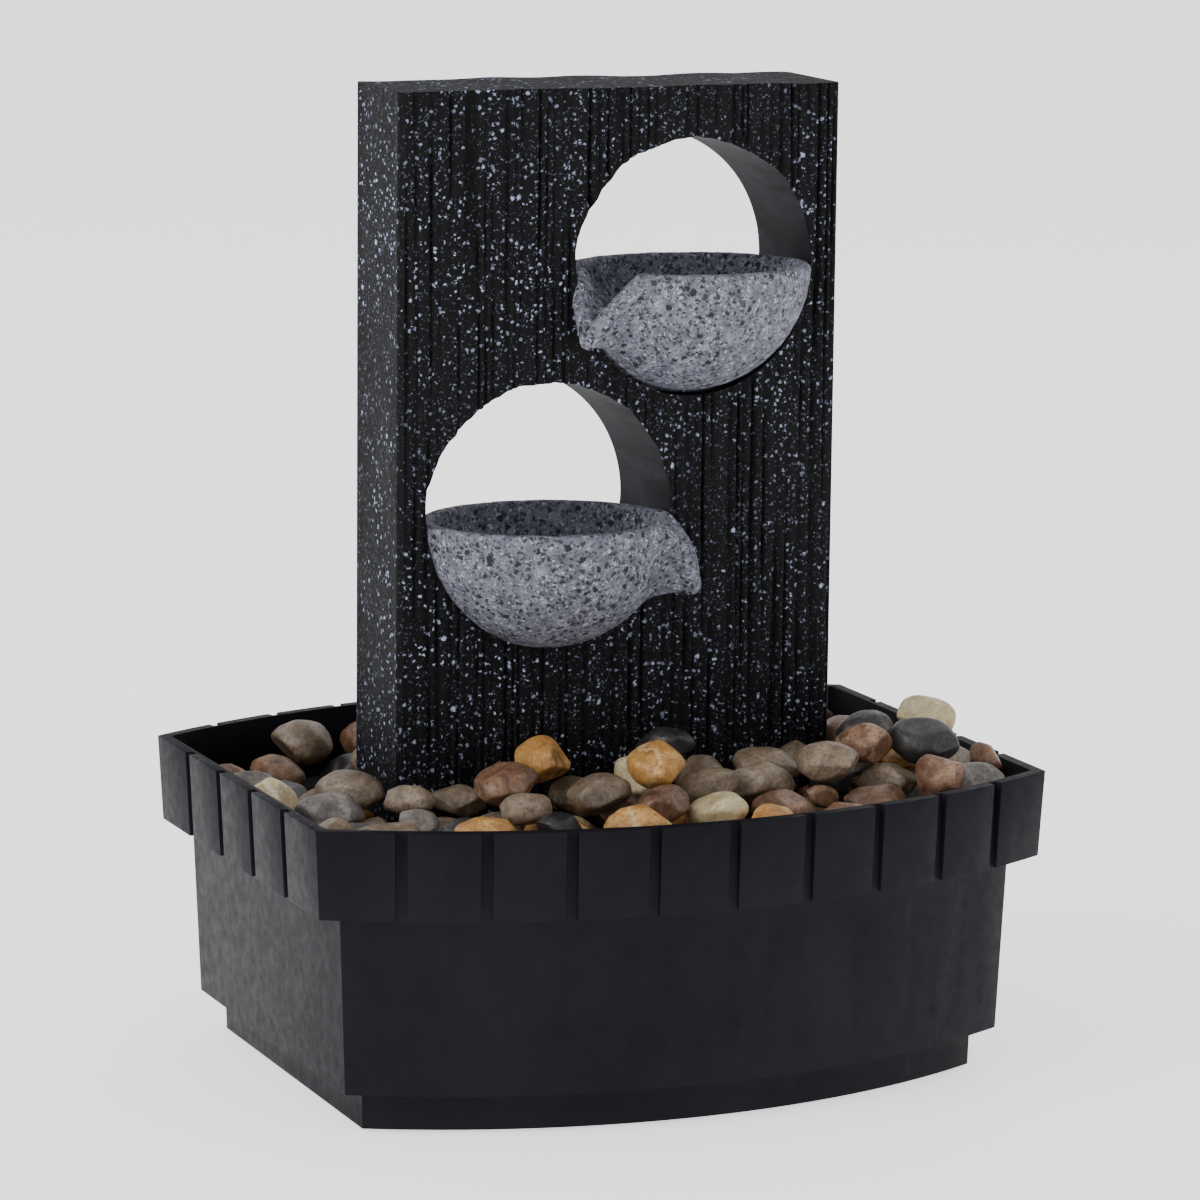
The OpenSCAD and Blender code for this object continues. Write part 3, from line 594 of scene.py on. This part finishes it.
def netMesh(field, origin, step):  # one vertex per crossed cell, one quad per crossed grid edge
    cells = tuple(n - 1 for n in field.shape)
    total = np.zeros((*cells, 3))
    count = np.zeros(cells)
    inside = field < 0

    def part(values, corner):
        return values[tuple(slice(c, n - 1 + c) for c, n in zip(corner, field.shape))]

    for axis in range(3):
        others = [k for k in range(3) if k != axis]
        for first in (0, 1):
            for second in (0, 1):
                corner = [0, 0, 0]
                corner[others[0]], corner[others[1]] = first, second
                a = part(field, corner)
                far = list(corner)
                far[axis] = 1
                b = part(field, far)
                crossed = (a < 0) != (b < 0)
                share = np.where(crossed, a / np.where(crossed, a - b, 1), 0)
                for k in range(3):
                    total[..., k] += crossed * (corner[k] if k != axis else share)
                count += crossed
    active = count > 0
    index = np.full(cells, -1)
    index[active] = np.arange(active.sum())
    points = (np.argwhere(active) + total[active] / count[active][:, None]) * step + origin
    quads = []
    for axis in range(3):
        others = [k for k in range(3) if k != axis]
        here = [slice(1, -1)] * 3
        there = [slice(1, -1)] * 3
        here[axis], there[axis] = slice(0, -1), slice(1, None)
        a, b = inside[tuple(here)], inside[tuple(there)]
        for flip in (False, True):
            spots = np.argwhere((a != b) & (a == flip))
            base = spots.copy()
            base[:, others] += 1
            ring = []
            for first, second in ((0, 0), (1, 0), (1, 1), (0, 1)):
                cell = base.copy()
                cell[:, others[0]] -= first
                cell[:, others[1]] -= second
                ring.append(index[tuple(cell.T)])
            turned = flip != (axis == 1)
            quads.append(np.stack(ring if turned else ring[::-1], axis=1))
    return points, np.concatenate(quads)


def bowlShell(p, bowl):
    f = bowlForm
    r, half = bowl["radius"], bowl["halfDepth"]
    outer = toEllipsoid(p, (r, half, r))
    inner = toEllipsoid(p, (r - f["wall"], half - f["wall"], r - f["wall"]))
    return smoothMax(smoothMax(outer, -inner, f["wallBlend"]), p[..., 2], f["rimBlend"])


def spoutFields(p, bowl):  # the spout's lips and cheeks, and the channel between them
    f = bowlForm
    turn = math.radians(f["turn"]) * bowl["side"]
    outward = np.array((math.sin(turn), -math.cos(turn), 0))
    across = np.array((math.cos(turn), math.sin(turn), 0)) * bowl["side"]
    reach = 1 / math.hypot(outward[0] / bowl["radius"], outward[1] / bowl["halfDepth"])

    def spot(out, side, drop):
        return out * outward + side * across + np.array((0, 0, -drop))

    lip = bowl["lip"]
    nearStart = spot(reach - f["nearIn"], -f["spread"], lip)
    farStart = spot(reach - f["farIn"], f["spread"], lip)
    tip = spot(reach + f["tipOut"], 0, f["tipDrop"])
    keel = spot(reach - f["keelIn"], 0, f["keelDrop"])
    bulge = bowl["bulge"] * (f["bow"][0] * outward + np.array((0, 0, f["bow"][1])))
    throat = np.full(p.shape[:-1], -1e9)
    lips = np.full(p.shape[:-1], 1e9)
    for start in (nearStart, farStart):
        bend = (start + tip) / 2 + bulge
        path = [(1 - t) ** 2 * start + 2 * t * (1 - t) * bend + t * t * tip
                for t in np.linspace(0, 1, f["lipSteps"])]
        for a, b in zip(path, path[1:]):
            lips = np.minimum(lips, toTriangle(p, a, b, keel) - f["plate"])
        for a, b in zip(path, path[1:]):
            lips = smoothMin(lips, toRod(p, a, b, lip), f["lipBlend"])
        normal = np.cross(tip - keel, start - keel)
        normal *= np.sign(normal[2]) / np.linalg.norm(normal)
        throat = np.maximum(throat, f["plate"] - (p - keel) @ normal)
    return lips, np.maximum(throat, f["throatIn"] - p @ outward)


def bowlField(p, bowl):
    f = bowlForm
    lips, throat = spoutFields(p, bowl)
    body = smoothMax(bowlShell(p, bowl), -throat, f["throatBlend"])
    body = smoothMin(body, lips, f["spoutBlend"])
    tunnelUp, tunnelRadius = bowl["tunnel"]
    toTunnel = np.hypot(p[..., 0], p[..., 2] - tunnelUp) - tunnelRadius + f["seam"]
    behind = p[..., 1] + bowl["middle"] - bowl["face"]
    body = np.where(behind > -f["seam"], smoothMax(body, toTunnel, f["seamBlend"]), body)
    bead = np.maximum(np.abs(behind - f["beadIn"]) - f["beadHalf"],
                      np.abs(toTunnel + f["beadHigh"]) - f["beadHigh"])
    bead = np.maximum(bead, p[..., 2] + f["beadDrop"])
    body = smoothMin(body, bead, f["beadBlend"])
    disc = np.hypot(p[..., 0] - bowl["foot"], p[..., 1] - bowl["line"]) - f["foot"]
    if bowl["side"] < 0:
        boss = np.abs(p[..., 2] - bowl["bossTop"] + f["bossHalf"]) - f["bossHalf"]
        body = smoothMin(body, np.maximum(disc, boss), f["bossBlend"])
    foot = np.maximum(np.maximum(disc, p[..., 2] + f["footDrop"]), toTunnel)
    return smoothMin(body, foot, f["footBlend"])


def makeBowl(node):
    bowl = bowls[node]
    low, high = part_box(node)
    r = bowl["radius"]
    middleX = (high.x / mm - r) if bowl["side"] < 0 else (low.x / mm + r)
    middleY = high.y / mm - bowl["halfDepth"]
    tubeLow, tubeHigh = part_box("water_tube")
    bowl["middle"] = middleY
    bowl["line"] = (tubeLow.y + tubeHigh.y) / 2 / mm - middleY
    bowl["face"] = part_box("tower_shell")[0].y / mm
    bowl["bossTop"] = (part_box("bowl_inlet_fitting")[1].z - high.z) / mm - 2
    step, before = bowlNet["step"], np.array(bowlNet["before"])
    start = -np.array((r, bowl["halfDepth"], r)) - before
    size = np.array((2 * r, 2 * bowl["halfDepth"], r)) + before + bowlNet["beyond"]
    axes = [start[k] + step * np.arange(int(size[k] / step)) for k in range(3)]
    grid = np.stack(np.meshgrid(*axes, indexing="ij"), axis=-1)
    points, quads = netMesh(bowlField(grid, bowl), start, step)
    points = (points + np.array((middleX, middleY, high.z / mm))) * mm
    piece = newPiece(node.replace("_b", "B"), points, quads, bowlGranite)
    sheet = bmesh.new()
    sheet.from_mesh(piece.data)
    for _ in range(bowlNet["smooths"]):
        bmesh.ops.smooth_vert(sheet, verts=sheet.verts, factor=0.5, use_axis_x=True,
                              use_axis_y=True, use_axis_z=True)
    sheet.normal_update()
    for v in sheet.verts:
        uneven = noise.noise(v.co * bowlNet["castScale"])
        uneven += bowlNet["fineShare"] * noise.noise(v.co * bowlNet["fineScale"])
        v.co += v.normal * uneven * bowlNet["cast"] * mm
    sheet.to_mesh(piece.data)
    sheet.free()
    piece.data.shade_smooth()
    placePiece(piece, "tower", "bowl_stone", node)


makeBowl("upper_bowl")
makeBowl("lower_bowl")
print("bowls made")


# The tower: combed front and plain back on one grid, round holes snapped to shape, hollow inside

tower = {
    "ribs": 43,
    "ribDepth": 0.0018,
    "ribSharp": 0.55,    # below 1, the ribs are broad and the grooves narrow
    "ribUneven": 0.8,    # how much the ribs' widths differ
    "ribStrength": (0.62, 0.9, 0.12),  # mean, change and least depth along a rib
    "ribFloor": 0.14,
    "grain": 0.16,
    "wander": 0.0016,
    "columns": 250,
    "rows": 124,
    "edge": 0.003,       # rounding of the upright edges
    "edgeSteps": 6,
    "skinDepth": 0.0005,
    "skinScale": 55,
    "holeUneven": 0.0011,
    "holeMargin": 0.0003,
    "topDrop": (0.0006, 0.0003),  # front and back
    "taper": 2.2,        # how soon a tunnel is true behind its ragged front edge
    "sideRings": 14,
    "wall": 0.005,
    "tunnelWall": 0.004,
    "tunnelSteps": 96,
    "toolLength": 0.08,  # longer than the tower is deep
    "shade": 50,
    "grooveGain": 1.35,  # turns a groove's depth into its painted shade
    "grooveStart": 0.25,
}


def combedDepth(x, z, low, high):
    share = (x - low.x) / (high.x - low.x)
    wander = noise.noise(Vector((share * 14, 0, z * 9))) * tower["wander"] / (high.x - low.x)
    phase = (share + wander) * tower["ribs"]
    phase += tower["ribUneven"] * noise.noise(Vector((share * 31, 7.3, 0)))
    wave = abs(math.sin(math.pi * phase)) ** tower["ribSharp"]
    mean, change, least = tower["ribStrength"]
    strength = mean + change * noise.noise(Vector((math.floor(phase + 0.5) * 1.7, z * 13, 3.1)))
    grain = noise.noise(Vector((x * 700, 0, z * 90))) * tower["grain"]
    depth = (1 - wave) * max(least, strength) + tower["ribFloor"] + grain
    return tower["ribDepth"] * max(0.0, depth)


def skinDepth(a, b, side):
    scale = tower["skinScale"]
    return tower["skinDepth"] * (0.55 + noise.noise(Vector((a * scale, side, b * scale))))


def holesOf():  # centre and radius of each round hole, read from its bowl's place
    found = []
    for node, bowl in bowls.items():
        low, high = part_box(node)
        r = bowl["radius"] * mm
        x = high.x - r if bowl["side"] < 0 else low.x + r
        found.append((x, high.z + bowl["tunnel"][0] * mm, bowl["tunnel"][1] * mm))
    return found


def towerColumns(low, high):  # even columns, crowded where the upright edges turn
    edge, steps, count = tower["edge"], tower["edgeSteps"], tower["columns"]
    turn = [edge * (1 - math.cos(math.pi / 2 * k / steps)) for k in range(steps)]
    width = high.x - low.x - 2 * edge
    middle = [low.x + edge + width * k / count for k in range(count + 1)]
    return [low.x + t for t in turn] + middle + [high.x - t for t in reversed(turn)]


def edgeTurn(x, low, high):  # how far the rounded upright edge draws back
    inset = min(x - low.x, high.x - x)
    left = max(0.0, tower["edge"] - inset)
    return tower["edge"] - math.sqrt(max(0.0, tower["edge"] ** 2 - left ** 2))


def snapToHole(x, z, hole, front):
    cx, cz, r = hole
    angle = math.atan2(z - cz, x - cx)
    spot = Vector((math.cos(angle) * 2.6, math.sin(angle) * 2.6, cx * 40))
    rag = max(0.0, 0.4 + noise.noise(spot) + 0.5 * noise.noise(spot * 4.3))
    overRim = min(1.0, max(0.0, 4 * math.sin(angle)))  # the bowl fills the lower half
    r += tower["holeUneven"] * rag * overRim if front else 0
    return cx + r * math.cos(angle), cz + r * math.sin(angle)


def makeTowerSkin(low, high):
    holes = holesOf()
    columns = towerColumns(low, high)
    rows = [low.z + (high.z - low.z) * j / tower["rows"] for j in range(tower["rows"] + 1)]
    kept, loops = [], {}

    def inHole(i, j):
        for number, (cx, cz, r) in enumerate(holes):
            if math.hypot(columns[i] - cx, rows[j] - cz) < r + tower["holeMargin"]:
                return number
        return -1

    holeAt = [[inHole(i, j) for i in range(len(columns))] for j in range(len(rows))]
    for j in range(len(rows) - 1):
        for i in range(len(columns) - 1):
            corners = ((i, j), (i + 1, j), (i + 1, j + 1), (i, j + 1))
            gone = max(holeAt[b][a] for a, b in corners)
            if gone < 0:
                kept.append(corners)
            else:
                for k in range(4):
                    loops[(corners[k], corners[(k + 1) % 4])] = gone
    rim = {pair: hole for pair, hole in loops.items() if (pair[1], pair[0]) not in loops}
    owner = {spot: hole for pair, hole in rim.items() for spot in pair}
    points, faces, index = [], [], {}
    for front in (True, False):
        for corners in kept:
            face = []
            for spot in corners:
                key = (front, spot)
                if key not in index:
                    x, z = columns[spot[0]], rows[spot[1]]
                    if spot in owner:
                        x, z = snapToHole(x, z, holes[owner[spot]], front)
                    drawn = edgeTurn(x, low, high)
                    if front:
                        y = low.y + max(drawn, combedDepth(x, z, low, high))
                    else:
                        y = high.y - max(drawn, skinDepth(x, z, 2.0))
                    if spot[1] == len(rows) - 1:
                        z -= skinDepth(x, y, 5.0) + tower["topDrop"][0 if front else 1]
                    index[key] = len(points)
                    points.append((x, y, z))
                face.append(index[key])
            faces.append(face if front else face[::-1])
    wide, tall = len(columns) - 1, len(rows) - 1
    border = [(i, 0) for i in range(wide)] + [(wide, j) for j in range(tall)]
    border += [(i, tall) for i in range(wide, 0, -1)] + [(0, j) for j in range(tall, 0, -1)]
    pairs = list(zip(border, border[1:] + border[:1]))
    addSides(points, faces, index, pairs, low, high, outer=True)
    tunnels = len(faces)
    addSides(points, faces, index, [(b, a) for a, b in rim], low, high, outer=False)
    return points, faces, tunnels


def addSides(points, faces, index, pairs, low, high, outer):
    rings = tower["sideRings"]
    made = {}

    def ringPoint(spot, k):
        if k == 0:
            return index[(True, spot)]
        if k == rings:
            return index[(False, spot)]
        if (spot, k) not in made:
            a, b = Vector(points[index[(True, spot)]]), Vector(points[index[(False, spot)]])
            p = a.lerp(b, k / rings)
            if outer and abs(p.x - low.x) < 0.00001:
                p.x += skinDepth(p.y, p.z, 8.0)
            elif outer and abs(p.x - high.x) < 0.00001:
                p.x -= skinDepth(p.y, p.z, 11.0)
            elif not outer:
                p = b.lerp(a, max(0.0, 1 - tower["taper"] * k / rings))
                p.y = a.y + (b.y - a.y) * k / rings
            made[(spot, k)] = len(points)
            points.append(tuple(p))
        return made[(spot, k)]

    for start, end in pairs:
        for k in range(rings):
            ring = (ringPoint(end, k), ringPoint(end, k + 1),
                    ringPoint(start, k + 1), ringPoint(start, k))
            if outer and start[1] == 0 and end[1] == 0:
                continue  # the bottom stays open round the hollow
            faces.append(ring)


def makeHollow(low, high):  # the CAD shell's hollow: a box less the tunnels' walls
    wall = tower["wall"]
    bpy.ops.mesh.primitive_cube_add(size=1)
    hollow = bpy.context.object
    size = (high.x - low.x - 2 * wall, high.y - low.y - 2 * wall, high.z - low.z - wall)
    middle = ((low.x + high.x) / 2, (low.y + high.y) / 2, low.z + size[2] / 2)
    hollow.data.transform(Matrix.Translation(middle) @ Matrix.Diagonal((*size, 1)))
    for x, z, r in holesOf():
        bpy.ops.mesh.primitive_cylinder_add(vertices=tower["tunnelSteps"], depth=tower["toolLength"],
                                            radius=r + tower["tunnelWall"])
        tool = bpy.context.object
        turn = Matrix.Rotation(math.pi / 2, 4, "X")
        tool.data.transform(Matrix.Translation((x, middle[1], z)) @ turn)
        step = hollow.modifiers.new("cut", "BOOLEAN")
        step.operation = "DIFFERENCE"
        step.object = tool
        step.solver = "EXACT"
        bake(hollow)
        bpy.data.objects.remove(tool)
    return hollow


def makeTower():
    low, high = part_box("tower_shell")
    points, faces, tunnels = makeTowerSkin(low, high)
    shell = newPiece("towerShell", points, faces, towerStone)
    shell.data.materials.append(tunnelSkin)
    for face in shell.data.polygons[tunnels:]:
        face.material_index = 1
    # painted shade: each front point's depth in a groove sets how much shade is painted there
    combed = shell.data.attributes.new("groove", "FLOAT", "POINT")
    for v, mark in zip(shell.data.vertices, combed.data):
        depth = (v.co.y - low.y) / tower["ribDepth"]
        dark = tower["grooveGain"] * depth - tower["grooveStart"]
        mark.value = min(1.0, max(0.0, dark)) if depth < 1.6 else 0.0  # deeper points aren't on the front
    hollow = makeHollow(low, high)
    sheet = bmesh.new()
    sheet.from_mesh(hollow.data)
    floor = [f for f in sheet.faces
             if f.normal.z < -0.9 and f.calc_center_median().z < low.z + 0.0001]
    bmesh.ops.delete(sheet, geom=floor, context="FACES_ONLY")
    bmesh.ops.reverse_faces(sheet, faces=sheet.faces)
    sheet.from_mesh(shell.data)
    edges = [e for e in sheet.edges if e.is_boundary]
    bmesh.ops.triangle_fill(sheet, use_beauty=True, edges=edges, normal=(0, 0, -1))
    sheet.to_mesh(shell.data)
    sheet.free()
    bpy.data.objects.remove(hollow)
    smoothShade(shell, tower["shade"])
    placePiece(shell, "tower", "tower_stone", "tower_shell")


makeTower()
print("tower made")


# The river stones: one geometry-node tree shapes every stone from its centre, turn and size

stones = {
    "seed": 11,
    "lumps": 0.2,        # slow swelling, as a share of the radius
    "lumpScale": 1.0,
    "chips": 8,          # flat-worn sides
    "chipRound": 0.11,
    "chipDepth": (0.68, 0.98),
    "pits": 0.03,
    "pitScale": 5.0,
    "detail": 5,
    "lowDetail": 4,
    "lowLevel": 0.083,   # stones centred below this are mostly hidden
}


def stoneTree():
    tree = bpy.data.node_groups.new("riverStones", "GeometryNodeTree")
    face = tree.interface
    face.new_socket("Geometry", in_out="INPUT", socket_type="NodeSocketGeometry")
    for name, kind in (("Lumps", "Float"), ("Lump Scale", "Float"), ("Chip Roundness", "Float"),
                       ("Pits", "Float"), ("Detail", "Int"), ("Seed", "Int"), ("Skin", "Material")):
        face.new_socket(name, in_out="INPUT", socket_type="NodeSocket" + kind)
    face.new_socket("Geometry", in_out="OUTPUT", socket_type="NodeSocketGeometry")
    given = tree.nodes.new("NodeGroupInput").outputs

    def add(kind, inputs=None, **settings):
        node = tree.nodes.new(kind)
        for key, value in settings.items():
            setattr(node, key, value)
        for key, value in (inputs or {}).items():
            if isinstance(value, bpy.types.NodeSocket):
                tree.links.new(value, node.inputs[key])
            else:
                node.inputs[key].default_value = value
        return node

    def sums(operation, *values):
        return add("ShaderNodeMath", dict(enumerate(values)), operation=operation).outputs[0]

    def named(name, kind):
        node = add("GeometryNodeInputNamedAttribute", {"Name": name}, data_type=kind)
        return node.outputs["Attribute"]

    ball = add("GeometryNodeMeshIcoSphere", {"Radius": 1.0, "Subdivisions": given["Detail"]})
    place = add("GeometryNodeInputPosition").outputs[0]
    marked = add("GeometryNodeStoreNamedAttribute", {"Geometry": ball.outputs["Mesh"], "Name": "unit",
                 "Value": place}, data_type="FLOAT_VECTOR", domain="POINT")
    middled = add("GeometryNodeStoreNamedAttribute", {"Geometry": given["Geometry"], "Name": "middle",
                  "Value": place}, data_type="FLOAT_VECTOR", domain="POINT")
    spread = add("GeometryNodeInstanceOnPoints", {
        "Points": middled.outputs[0], "Instance": marked.outputs[0],
        "Rotation": named("turn", "FLOAT_VECTOR"), "Scale": named("half", "FLOAT_VECTOR")})
    solid = add("GeometryNodeRealizeInstances", {"Geometry": spread.outputs[0]})
    unit = named("unit", "FLOAT_VECTOR")
    number = named("stoneSeed", "FLOAT")
    lump = add("ShaderNodeTexNoise", {"Vector": unit, "W": number, "Scale": given["Lump Scale"],
               "Detail": 1.5, "Roughness": 0.45}, noise_dimensions="4D").outputs["Fac"]
    size = sums("MULTIPLY_ADD", sums("SUBTRACT", lump, 0.5), sums("MULTIPLY", given["Lumps"], 2.0), 1.0)
    index = add("FunctionNodeFloatToInt", {"Float": sums("MULTIPLY", number, 97.0)}).outputs[0]
    shallow, deep = stones["chipDepth"]
    for chip in range(stones["chips"]):
        seed = sums("ADD", given["Seed"], chip * 2.0)
        aim = add("FunctionNodeRandomValue", {"Min": (-1, -1, -1), "Max": (1, 1, 1), "ID": index,
                  "Seed": seed}, data_type="FLOAT_VECTOR").outputs["Value"]
        aim = add("ShaderNodeVectorMath", {0: aim}, operation="NORMALIZE").outputs[0]
        depth = add("FunctionNodeRandomValue", {2: shallow, 3: deep, "ID": index,
                    "Seed": sums("ADD", seed, 1.0)}, data_type="FLOAT").outputs[1]
        facing = add("ShaderNodeVectorMath", {0: unit, 1: aim}, operation="DOT_PRODUCT").outputs["Value"]
        flat = sums("DIVIDE", depth, sums("MAXIMUM", facing, 0.3))
        size = sums("SMOOTH_MIN", size, flat, given["Chip Roundness"])
    pit = add("ShaderNodeTexNoise", {"Vector": unit, "W": number, "Scale": stones["pitScale"],
              "Detail": 4.0, "Roughness": 0.6}, noise_dimensions="4D").outputs["Fac"]
    size = sums("MULTIPLY_ADD", sums("SUBTRACT", pit, 0.5), given["Pits"], size)
    arm = add("ShaderNodeVectorMath", {0: place, 1: named("middle", "FLOAT_VECTOR")},
              operation="SUBTRACT").outputs[0]
    push = add("ShaderNodeVectorMath", {0: arm, "Scale": sums("SUBTRACT", size, 1.0)},
               operation="SCALE")
    moved = add("GeometryNodeSetPosition", {"Geometry": solid.outputs[0], "Offset": push.outputs[0]})
    smooth = add("GeometryNodeSetShadeSmooth", {"Geometry": moved.outputs[0]})
    whole = add("GeometryNodeRealizeInstances", {"Geometry": smooth.outputs[0]})
    skin = add("GeometryNodeSetMaterial", {"Geometry": whole.outputs[0], "Material": given["Skin"]})
    out = tree.nodes.new("NodeGroupOutput")
    tree.links.new(skin.outputs[0], out.inputs["Geometry"])
    return tree


def stoneSizes(node):  # centre, turn and half lengths of every stone in a CAD node
    source = cadCopy(node, "measure")
    mesh = source.data
    count = len(mesh.vertices)
    owner = np.arange(count)
    ends = np.array([e.vertices[:] for e in mesh.edges])
    while True:  # each point takes the lowest number among its neighbours
        best = owner.copy()
        np.minimum.at(best, ends[:, 0], owner[ends[:, 1]])
        np.minimum.at(best, ends[:, 1], owner[ends[:, 0]])
        best = best[best]
        if (best == owner).all():
            break
        owner = best
    places = np.array([v.co[:] for v in mesh.vertices])
    found = []
    for label in np.unique(owner):
        cloud = places[owner == label]
        middle = (cloud.max(0) + cloud.min(0)) / 2
        _, _, rows = np.linalg.svd(cloud - cloud.mean(0), full_matrices=False)
        if np.linalg.det(rows) < 0:
            rows[2] = -rows[2]
        half = np.abs((cloud - middle) @ rows.T).max(0)
        turn = Matrix(rows.tolist()).transposed().to_euler()
        found.append((middle, turn[:], half))
    bpy.data.objects.remove(source)
    return found


def makeStones(node, tree, material, number):
    sizes = stoneSizes(node)
    groups = []
    for low in (False, True):
        chosen = [s for s in sizes if (s[0][2] < stones["lowLevel"]) == low]
        if not chosen:
            continue
        seeds = [number * 31 + 1.37 * k + (500 if low else 0) for k in range(len(chosen))]
        points = newPiece("%s_%d" % (node, low), [s[0] for s in chosen], [], material)
        for name, kind, values in (
            ("turn", "FLOAT_VECTOR", [s[1] for s in chosen]),
            ("half", "FLOAT_VECTOR", [s[2] for s in chosen]),
            ("stoneSeed", "FLOAT", seeds),
        ):
            attribute = points.data.attributes.new(name, kind, "POINT")
            key = "vector" if kind == "FLOAT_VECTOR" else "value"
            attribute.data.foreach_set(key, np.array(values, np.float32).ravel())
        shaped = points.modifiers.new("stones", "NODES")
        shaped.node_group = tree
        values = {"Lumps": stones["lumps"], "Lump Scale": stones["lumpScale"],
                  "Chip Roundness": stones["chipRound"], "Pits": stones["pits"],
                  "Detail": stones["lowDetail" if low else "detail"], "Seed": stones["seed"],
                  "Skin": material}
        for item in tree.interface.items_tree:
            if item.in_out == "INPUT" and item.name in values:
                shaped[item.identifier] = values[item.name]
        bake(points)
        groups.append(points)
    piece = groups[0]
    if len(groups) > 1:
        with bpy.context.temp_override(active_object=piece, selected_editable_objects=groups):
            bpy.ops.object.join()
    piece.name = node.replace("pebbles_", "stones.")
    placePiece(piece, "tray", node.replace("pebbles_", "stone_"), node)


shapedStones = stoneTree()
for number, (node, tones) in enumerate(stoneTones.items()):
    makeStones(node, shapedStones, makeStone(node, tones), number)
print("stones made")


# Finishes for the parts that the CAD shapes already show

def paintNode(node, material):
    piece = frame["nodes"][node]
    piece.data.materials.clear()
    piece.data.materials.append(material)


pumpBlack = makePlastic("pumpPlastic", (0.02, 0.02, 0.023), 0.38)
finishes = {
    "basin_feet": makePlastic("footRubber", (0.03, 0.03, 0.03), 0.85),
    "pebble_tray": makePlastic("trayPlastic", (0.024, 0.024, 0.028), 0.5),
    "bowl_inlet_fitting": makePlastic("fittingPlastic", (0.045, 0.045, 0.05), 0.4),
    "water_tube": makePlastic("tubeVinyl", (0.72, 0.78, 0.8), 0.12, 200, Transmission_Weight=0.75),
    "pump_housing": pumpBlack,
    "strainer_cover": makePlastic("coverPlastic", (0.033, 0.033, 0.038), 0.42),
    "flow_dial": makePlastic("dialPlastic", (0.06, 0.06, 0.065), 0.45),
    "impeller": makePlastic("impellerPlastic", (0.75, 0.76, 0.72), 0.4),
    "magnet_rotor": makePlastic("ferrite", (0.06, 0.058, 0.062), 0.55, 1600),
    "rotor_shaft": makePlastic("shaftCeramic", (0.82, 0.81, 0.78), 0.12),
    "shaft_bush_front": makePlastic("bushRubber", (0.05, 0.05, 0.05), 0.75),
    "volute_seal_ring": makePlastic("sealRubber", (0.02, 0.02, 0.02), 0.7),
    "suction_cups": makePlastic("cupRubber", (0.028, 0.028, 0.03), 0.6),
    "stator_core": makeLaminations(),
    "stator_coils": makeWinding(),
}
finishes["inlet_nut"] = finishes["bowl_inlet_fitting"]
finishes["shaft_bush_rear"] = finishes["shaft_bush_front"]
for node in ("pump_back_cover", "volute_cover", "outlet_nozzle", "cord_gland"):
    finishes[node] = pumpBlack
for node, material in finishes.items():
    paintNode(node, material)
print("finishes set")
